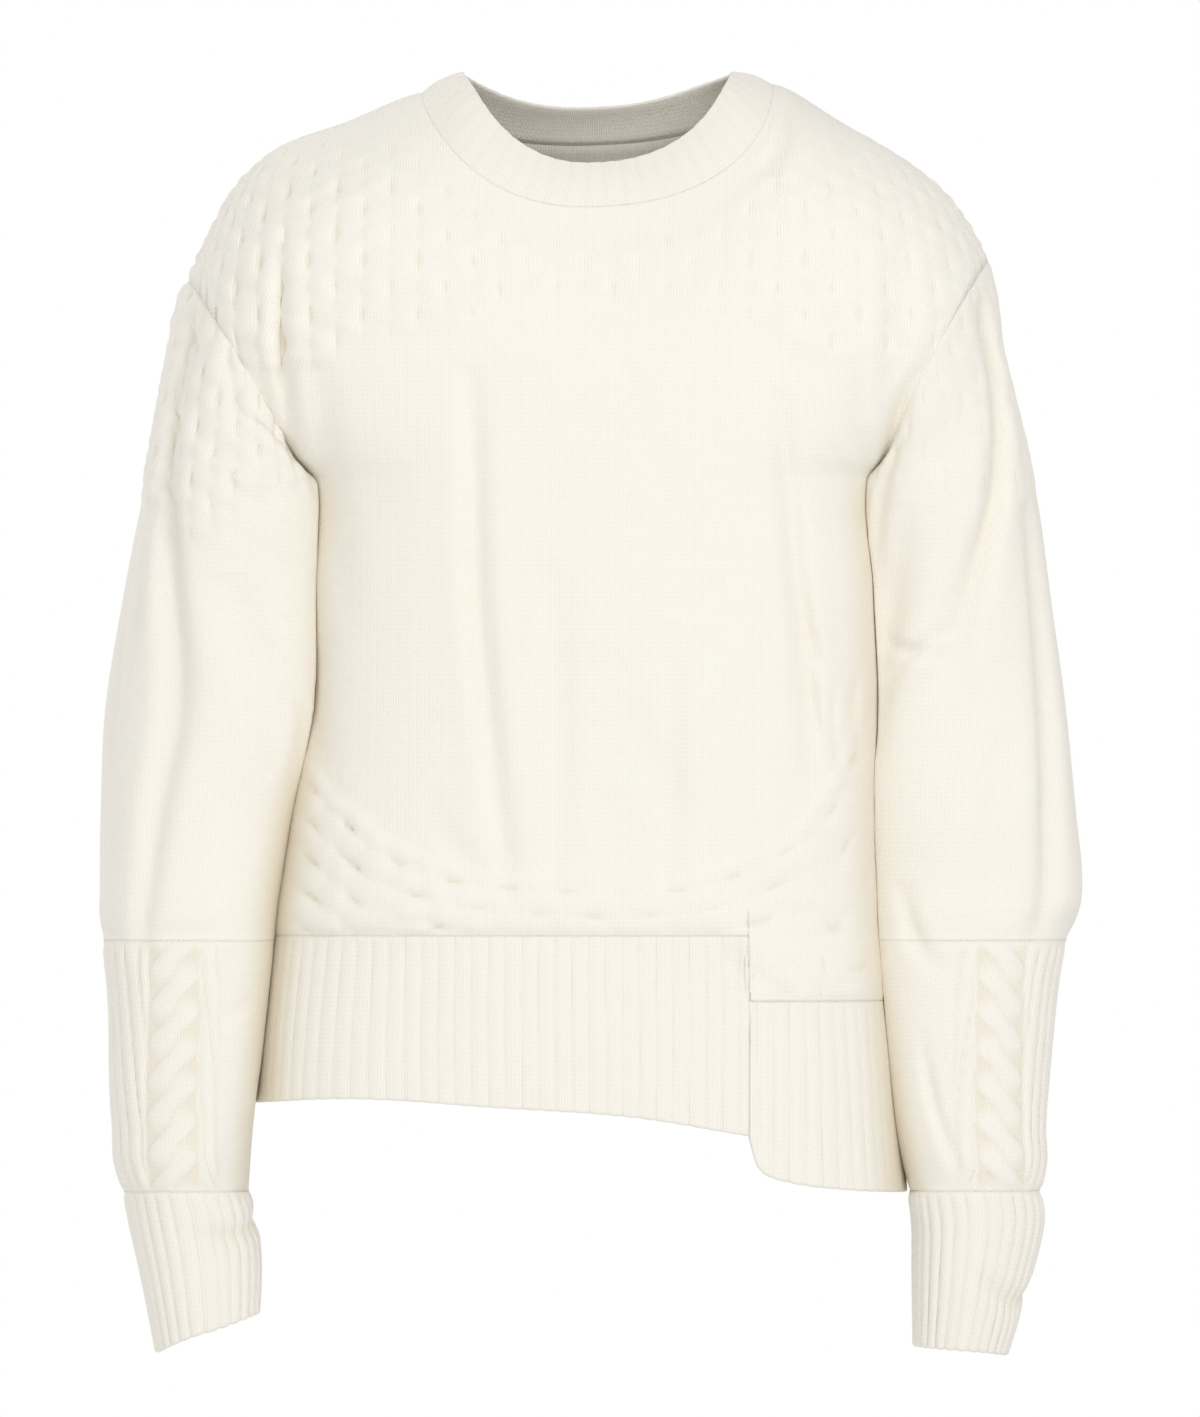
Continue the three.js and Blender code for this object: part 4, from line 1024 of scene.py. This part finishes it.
def make_forearm(side, material):
    """A forearm: a wide plait down its front and back, with long ribs between them outside."""
    rows, columns = GRID["forearm"]
    turn, share = ring(columns), np.linspace(0, 1, rows)[:, None]
    base = sleeve_base(side, turn, share, SLEEVE_END, FOREARM_SEAM - SEAM_GAP)
    across, z = around_sleeve(base), base[..., 2]
    down, up = from_edge(base, 0), from_edge(base, 0, True)
    first, last = PLAITS[side]
    strand = np.zeros_like(z)
    beside_plait = np.full_like(z, 99.0)
    for centre, weight in ((first, 1.0), (last, 0.85)):
        off = across - across[:, [round(centre / 360 * columns)]]
        strand = strand + weight * plait(off, up)
        beside_plait = np.minimum(beside_plait, np.abs(off) - PLAIT_HALF - PLAIT_STRAND)
    outside = (np.degrees(turn) > first) & (np.degrees(turn) < last)
    rib_area = smooth(beside_plait / 4) * np.where(outside, 1.0, smooth((14 - beside_plait) / 6))
    long_ribs = ribs(across, up, RIB_PITCH) * rib_area
    hold = smooth(down / 8) * smooth(up / SEAM_FADE)
    beside = beside_trunk(turn)
    rise = np.maximum(PLAIT_RISE * strand, CUFF_RIB_RISE * long_ribs)
    rise = lerp(SEWN_RISE, rise, hold) * (1 - LAID_FLAT * beside)
    # Painted shade: hollow tints the wool warmer between plait strands and ribs, in folds, and on
    # the inner side against the body.
    pits = pit(strand) * (beside_plait < 0) + pit(long_ribs) * rib_area
    shade = FOLD_SHADE * sleeve_trough(side, turn, z) + beside
    hollow = np.clip(0.8 * pits * hold + shade, 0, 1)
    surface = base, tube_normals(base, [0, -1]), rise, stitched(across, up), hollow
    add_piece(f"forearm_{side}", material, *surface, closed=True)


def make_cuff(side, material):
    """A ribbed cuff, from the forearm's last ring to its own slanted edge, with one soft bend
    across it."""
    rows, columns = GRID["cuff"]
    turn, share = ring(columns), np.linspace(0, 1, rows)[:, None]
    start = sleeve_base(side, turn, np.ones((1, 1)))
    z = lerp(SLEEVE_END - SEAM_GAP, lerp(*CUFF_EDGE[side], (1 - np.cos(turn)) / 2), share)
    x, y = section(CUFF[side], turn, z)
    from_x, from_y = section(CUFF[side], turn, np.full_like(turn, SLEEVE_END))
    join = 1 - smooth(share / 0.3)
    x, y = x + join * (start[..., 0] - from_x), y + join * (start[..., 1] - from_y)
    over_hem = z >= VENT_EDGE["z"].min()
    x = np.where(over_hem, beside_body(side, x, y, z, ARM_CLEARANCE - 2), x)
    base = joined(x, y, z)
    if side == "left":
        bend = 3.0 * bell((z + 682 + 30 * np.cos(turn - 2.6)) / 7) * smooth(0.3 - np.cos(turn))
    else:
        bend = 3.2 * bell((z + 664 + 10 * np.sin(turn)) / 6) * smooth(np.cos(turn) + 0.4)
    inward = unit(base.mean(axis=1, keepdims=True) - base)
    base = base + inward * (bend * smooth(share / 0.1))[..., None]
    across, down = whole_ribs(base, RIB_PITCH, 2), from_edge(base, 0)
    wave = ribs(across, down, RIB_PITCH)
    rise = lerp(SEWN_RISE, CUFF_RIB_RISE * wave, smooth(down / SEAM_FADE))
    # Painted shade: hollow tints the wool warmer in the furrows between ribs and in the bend.
    hollow = 0.8 * pit(wave) + 0.3 * np.clip(bend / 3, 0, 1)
    surface = base, tube_normals(base, [0]), rise, stitched(across, -down), hollow
    add_piece(f"cuff_{side}", material, *surface, closed=True, free=True)


# ---- Neckband and hem


def evened(line, count, closed):
    """Points spaced evenly along a fine line."""
    if closed:
        line = np.concatenate([line, line[:1]])
    reach = np.concatenate([[0], np.cumsum(np.linalg.norm(np.diff(line, axis=0), axis=1))])
    at = np.linspace(0, reach[-1], count + 1)[:-1] if closed else np.linspace(0, reach[-1], count)
    return np.stack([np.interp(at, reach, line[:, k]) for k in range(3)], axis=1)


def neck_ring(count):
    """The neck seam: across the front from the right neck point, and back across the back."""
    turn = np.linspace(0, 2 * math.pi, FINE_RING)[:-1]
    x = -NECK_HALF * np.cos(turn)
    halves = []
    for face in SIGN:
        z = neck_seam_z(face, x)
        halves.append(joined(x, own_side_y(face, x, z), z))
    return evened(np.where((turn < math.pi)[:, None], *halves), count, True)


def make_neckband(material):
    """A narrow ribbed band that stands in and up from the neck seam. Its edge is the lower of a
    flat arch over the shoulders and of the seam moved up, rounded where the two cross."""
    rows, columns = GRID["neckband"]
    seam = neck_ring(columns)
    x, y, z = seam.T
    raised = z + np.where(y < 0, NECK["front"]["rise"], NECK["back"]["rise"])
    top = lesser(NECK_EDGE_Z - NECK_EDGE_FALL * (y / 30) ** 2, raised, 4.0)
    edge = joined(x * NECK_EDGE_HALF / NECK_HALF, y * NECK_LEAN, top)
    share = np.linspace(0, 1, rows)[:, None, None]
    base = lerp(seam[None] + np.array([0, 0, SEAM_GAP]), edge[None], share)
    away = base - base.mean(axis=1, keepdims=True) + np.array([0, 0, 30])
    normals = outward_normals(base, away, True)
    base = base + normals * 1.8 * np.sin(math.pi * share)
    across, up = whole_ribs(base, NECK_RIB_PITCH), from_edge(base, 0)
    wave = ribs(across, up, NECK_RIB_PITCH)
    rise = lerp(NECK_SEWN_RISE, NECK_RIB_RISE * wave, smooth(up / 9))
    # Painted shade: 0.25 (1 - wave) tints the wool warmer in the furrows between ribs.
    surface = base, normals, rise, stitched(across, up, NECK_RIB_PITCH / 4), 0.25 * (1 - wave)
    add_piece("neckband", material, *surface, closed=True, free=True)


def make_hem(node, face, span, edge, material, lift=0.0):
    """A ribbed band below one stretch of a panel's hem seam, hanging to its own edge."""
    rows, columns = GRID[node]
    x = np.linspace(*span, FINE_LINE)
    seam = evened(panel_base(face, x, panel_bottom_z(face, x, 0 * x)), columns, False)
    seam_x, seam_y, seam_z = seam.T
    share = np.linspace(0, 1, rows)[:, None]
    z = lerp(seam_z - SEAM_GAP, along(edge, "z", seam_x), share)
    spread = [wide / sewn for wide, sewn in zip(body_sides(z), body_sides(seam_z))]
    spread = np.where(seam_x < 0, *spread)
    x = seam_x * lerp(1, spread, smooth((np.abs(seam_x) - 100) / 60))
    depth = body_depth(face, x, z)
    sewn = SIGN[face] * seam_y - HALF_SEAM - body_depth(face, seam_x, seam_z)
    hang = 1.3 * wander(x, 0.4 * z, 120, 7) + lift * smooth(share / 0.4)
    depth = depth + lerp(sewn, smooth(depth / OUTLINE_FADE) * hang, smooth(share / 0.15))
    base = joined(x, SIGN[face] * (np.maximum(depth, 0) + HALF_SEAM), z)
    normals = outward_normals(base, np.array([0, SIGN[face], 0]), False)
    level(normals, 0, 2)
    at_side = [end for end in (0, -1) if abs(x[0, end]) > VENT_X + 40]
    level(normals, np.s_[:, at_side], 1)
    count = round(from_edge(base, 1)[0, -1] / RIB_PITCH)
    across = np.linspace(0, count * RIB_PITCH, columns)[None, :] + 0 * z
    down = from_edge(base, 0)
    wave = ribs(across, down, RIB_PITCH)
    ends = np.minimum(from_edge(base, 1), from_edge(base, 1, True))
    beside = beside_sleeve(x, z)
    rise = lerp(SEWN_RISE, RIB_RISE * wave * smooth(ends / 2), smooth(down / SEAM_FADE))
    rise = (rise + seam_dip(down, 0.15)) * (1 - LAID_FLAT * beside)
    # Painted shade: hollow tints the wool warmer in the furrows between ribs and where a sleeve
    # hangs against the body.
    hollow = np.clip(0.7 * pit(wave) + beside, 0, 1)
    add_piece(node, material, base, normals, rise, stitched(across, -down), hollow, free=True)


# ---- Wool

# WARM_CREAM is painted shade: the colour the wool turns in hollows, creases, between stitches and
# between pieces. It is also the darker end of the yarn's slow random tone.
CREAM, WARM_CREAM = (0.935, 0.902, 0.820), (0.840, 0.755, 0.590)


def socket_group(name, given, *made):
    """An empty shader group that takes a vector and gives numbers, and its two end nodes."""
    group = bpy.data.node_groups.new(name, "ShaderNodeTree")
    group.interface.new_socket(given, in_out="INPUT", socket_type="NodeSocketVector")
    for label in made:
        group.interface.new_socket(label, in_out="OUTPUT", socket_type="NodeSocketFloat")
    return group, group.nodes.new("NodeGroupInput"), group.nodes.new("NodeGroupOutput")


def maths(tree):
    """A function that adds a Math node and returns its result: maths("ADD", a, 2)."""

    def add(operation, *values):
        node = tree.nodes.new("ShaderNodeMath")
        node.operation = operation
        for socket, value in zip(node.inputs, values):
            if isinstance(value, (int, float)):
                socket.default_value = value
            else:
                tree.links.new(value, socket)
        return node.outputs[0]

    return add


def stitch_group():
    """Plain knit: each wale is two legs that meet in a V, one V to a course. Height is
    sqrt(hump(m)) across a leg, m being twice the distance from the wale's middle, times
    0.5 + 0.5 hump(w) along it, where hump(v) is 1 - (2v - 1)^2."""
    group, given, made = socket_group("plain_knit", "Stitches", "Height", "Gap")
    m = maths(group)

    def hump(value):
        off = m("ABSOLUTE", m("SUBTRACT", m("MULTIPLY", value, 2.0), 1.0))
        return m("SUBTRACT", 1.0, m("POWER", off, 2.0))

    parts = group.nodes.new("ShaderNodeSeparateXYZ")
    group.links.new(given.outputs["Stitches"], parts.inputs[0])
    middle = m("MULTIPLY", m("ABSOLUTE", m("SUBTRACT", m("FRACT", parts.outputs[0]), 0.5)), 2.0)
    leg = hump(middle)
    bead = hump(m("FRACT", m("SUBTRACT", parts.outputs[1], m("MULTIPLY", middle, 0.55))))
    height = m("MULTIPLY", m("SQRT", leg), m("MULTIPLY_ADD", bead, 0.5, 0.5))
    group.links.new(height, made.inputs["Height"])
    # Gap, the low places between stitches, is used by the wool as painted shade.
    group.links.new(m("SUBTRACT", 1.0, height), made.inputs["Gap"])
    return group


def preset(node, **values):
    """Sets constants on a node's sockets. An underscore stands for a space in a socket's name."""
    for label, value in values.items():
        node.inputs[label.replace("_", " ")].default_value = value


def new_material(name):
    """A material, its nodes and its shader."""
    material = bpy.data.materials.new(name)
    material.use_nodes = True
    return material, material.node_tree, material.node_tree.nodes["Principled BSDF"]


def fuzz_group():
    """Loose fibres: fine noise for the surface, and slow noise for the shade of the yarn."""
    group, given, made = socket_group("yarn_fuzz", "Place", "Height", "Shade")
    for label, scale, detail in (("Height", 1300.0, 3.0), ("Shade", 55.0, 4.0)):
        noise = group.nodes.new("ShaderNodeTexNoise")
        preset(noise, Scale=scale, Detail=detail)
        group.links.new(given.outputs["Place"], noise.inputs["Vector"])
        group.links.new(noise.outputs["Fac"], made.inputs[label])
    return group


def wool(name, groups, stitch_depth):
    """Cream wool, matt, with a soft nap: painted warm shade in its hollows and between its
    stitches, and a slow random tone in the yarn.
    """
    material, tree, shader = new_material(name)
    m, new, link = maths(tree), tree.nodes.new, tree.links.new
    uv = new("ShaderNodeUVMap")
    uv.uv_map = "stitches"
    hollow = new("ShaderNodeAttribute")
    hollow.attribute_name = "hollow"
    knit, fuzz = (new("ShaderNodeGroup") for _ in groups)
    knit.node_tree, fuzz.node_tree = groups
    link(uv.outputs["UV"], knit.inputs["Stitches"])
    link(new("ShaderNodeTexCoord").outputs["Object"], fuzz.inputs["Place"])
    # Painted shade: the hollow attribute and the gaps between stitches turn the cream towards
    # warm cream; the slow noise adds the yarn's own random tone.
    deep = m("MULTIPLY", hollow.outputs["Fac"], 0.6)
    deep = m("MULTIPLY_ADD", knit.outputs["Gap"], 0.08, deep)
    deep = m("MULTIPLY_ADD", fuzz.outputs["Shade"], 0.14, deep)
    ramp = new("ShaderNodeValToRGB")
    for element, tint in zip(ramp.color_ramp.elements, (CREAM, WARM_CREAM)):
        element.color = (*tint, 1)
    link(m("SUBTRACT", deep, 0.07), ramp.inputs["Fac"])
    link(ramp.outputs["Color"], shader.inputs["Base Color"])
    bump = new("ShaderNodeBump")
    preset(bump, Strength=0.5, Distance=stitch_depth * MM)
    height = m("MULTIPLY_ADD", fuzz.outputs["Height"], 0.35, knit.outputs["Height"])
    link(height, bump.inputs["Height"])
    link(bump.outputs["Normal"], shader.inputs["Normal"])
    preset(shader, Roughness=0.92, Specular_IOR_Level=0.2, Sheen_Weight=0.12, Sheen_Roughness=0.6)
    return material


# ---- Room

VIEW_HEIGHT = 0.822
VIEW_CENTRE = (0.0017, -0.3686)
CAMERA_DISTANCE = 25.0
FLOOR_Z = -1.42  # under the feet of a wearer of ordinary height
FLOOR_RINGS = 0.4, 1.0, 1.8, 2.6
FLOOR_SIDES = 96
ROOM_LIGHT = 0.745  # the white room is this bright where it lights the cloth
LIGHTS = (  # name, place, size and power
    ("key", (1.4, -3.0, 1.3), 1.2, 29.0),
    ("front", (-0.8, -4.2, -0.2), 1.2, 21.5),
    ("fill", (-2.2, 2.8, 1.2), 1.8, 33.0),
)
LIT_PLACE = (0, 0, -0.35)


def make_camera():
    """A long lens in front of the garment, as high as the view is."""
    data = bpy.data.cameras.new("camera")
    data.sensor_width = 36.0
    data.lens = data.sensor_width * CAMERA_DISTANCE / VIEW_HEIGHT
    camera = added("camera", data)
    camera.location = (VIEW_CENTRE[0], -CAMERA_DISTANCE, VIEW_CENTRE[1])
    camera.rotation_euler = (math.pi / 2, 0, 0)
    bpy.context.scene.camera = camera


def make_floor():
    """A pale round floor that fades out into the white of the room."""
    turn, reach = ring(FLOOR_SIDES), np.array(FLOOR_RINGS)[:, None]
    points = joined(reach * np.cos(turn), reach * np.sin(turn), FLOOR_Z).reshape(-1, 3)
    ids = np.arange(len(points)).reshape(len(FLOOR_RINGS), -1)
    faces = [ids[0].tolist(), *quads(wrapped(ids), True).tolist()]
    mesh = bpy.data.meshes.new("floor")
    mesh.from_pydata(points.tolist(), [], faces)
    material, tree, shader = new_material("pale_floor")
    preset(shader, Base_Color=(0.9, 0.9, 0.9, 1), Roughness=0.9)
    m = maths(tree)
    length = tree.nodes.new("ShaderNodeVectorMath")
    length.operation = "LENGTH"
    place = tree.nodes.new("ShaderNodeTexCoord")
    tree.links.new(place.outputs["Object"], length.inputs[0])
    out = m("MAXIMUM", m("SUBTRACT", length.outputs["Value"], -FLOOR_Z), 0.0)
    fade = m("MAXIMUM", m("SUBTRACT", 1.0, m("MULTIPLY", out, 0.66)), 0.0)
    tree.links.new(fade, shader.inputs["Alpha"])
    mesh.materials.append(material)
    added("floor", mesh)


def make_light():
    """Three soft lamps in a white room, which looks whiter than it lights."""
    scene = bpy.context.scene
    scene.view_settings.view_transform = "Standard"
    scene.view_settings.look = "None"
    scene.world = scene.world or bpy.data.worlds.new("room")
    scene.world.use_nodes = True
    tree = scene.world.node_tree
    back = tree.nodes["Background"]
    preset(back, Color=(1, 1, 1, 1))
    seen = tree.nodes.new("ShaderNodeLightPath").outputs["Is Camera Ray"]
    strength = maths(tree)("MULTIPLY_ADD", seen, 1 - ROOM_LIGHT, ROOM_LIGHT)
    tree.links.new(strength, back.inputs["Strength"])
    for name, place, size, power in LIGHTS:
        data = bpy.data.lights.new(name, "AREA")
        data.size, data.energy = size, power
        light = added(name, data)
        light.location = place
        x, y, z = np.subtract(LIT_PLACE, place)
        light.rotation_euler = (math.atan2(np.hypot(x, y), -z), 0, math.atan2(-x, y))


# ---- The garment

make_camera()
make_floor()
make_light()
groups = (stitch_group(), fuzz_group())
plain_wool = wool("cream_wool", groups, 0.7)
ribbed_wool = wool("cream_ribbed_wool", groups, 0.8)

make_panel("front", plain_wool)
make_panel("back", plain_wool)
for side in ("right", "left"):
    make_sleeve(side, plain_wool)
    make_forearm(side, ribbed_wool)
    make_cuff(side, ribbed_wool)
make_neckband(ribbed_wool)
right, left = along(BODY, "right", HEM_HIGH), along(BODY, "left", HEM_LOW)
make_hem("hem_front", "front", (right, VENT_X - SEAM_GAP), HEM_EDGE, ribbed_wool)
make_hem("hem_side", "front", (VENT_X + SEAM_GAP, left), VENT_EDGE, ribbed_wool, VENT_LIFT)
make_hem("hem_back", "back", (right, left), BACK_HEM_EDGE, ribbed_wool)
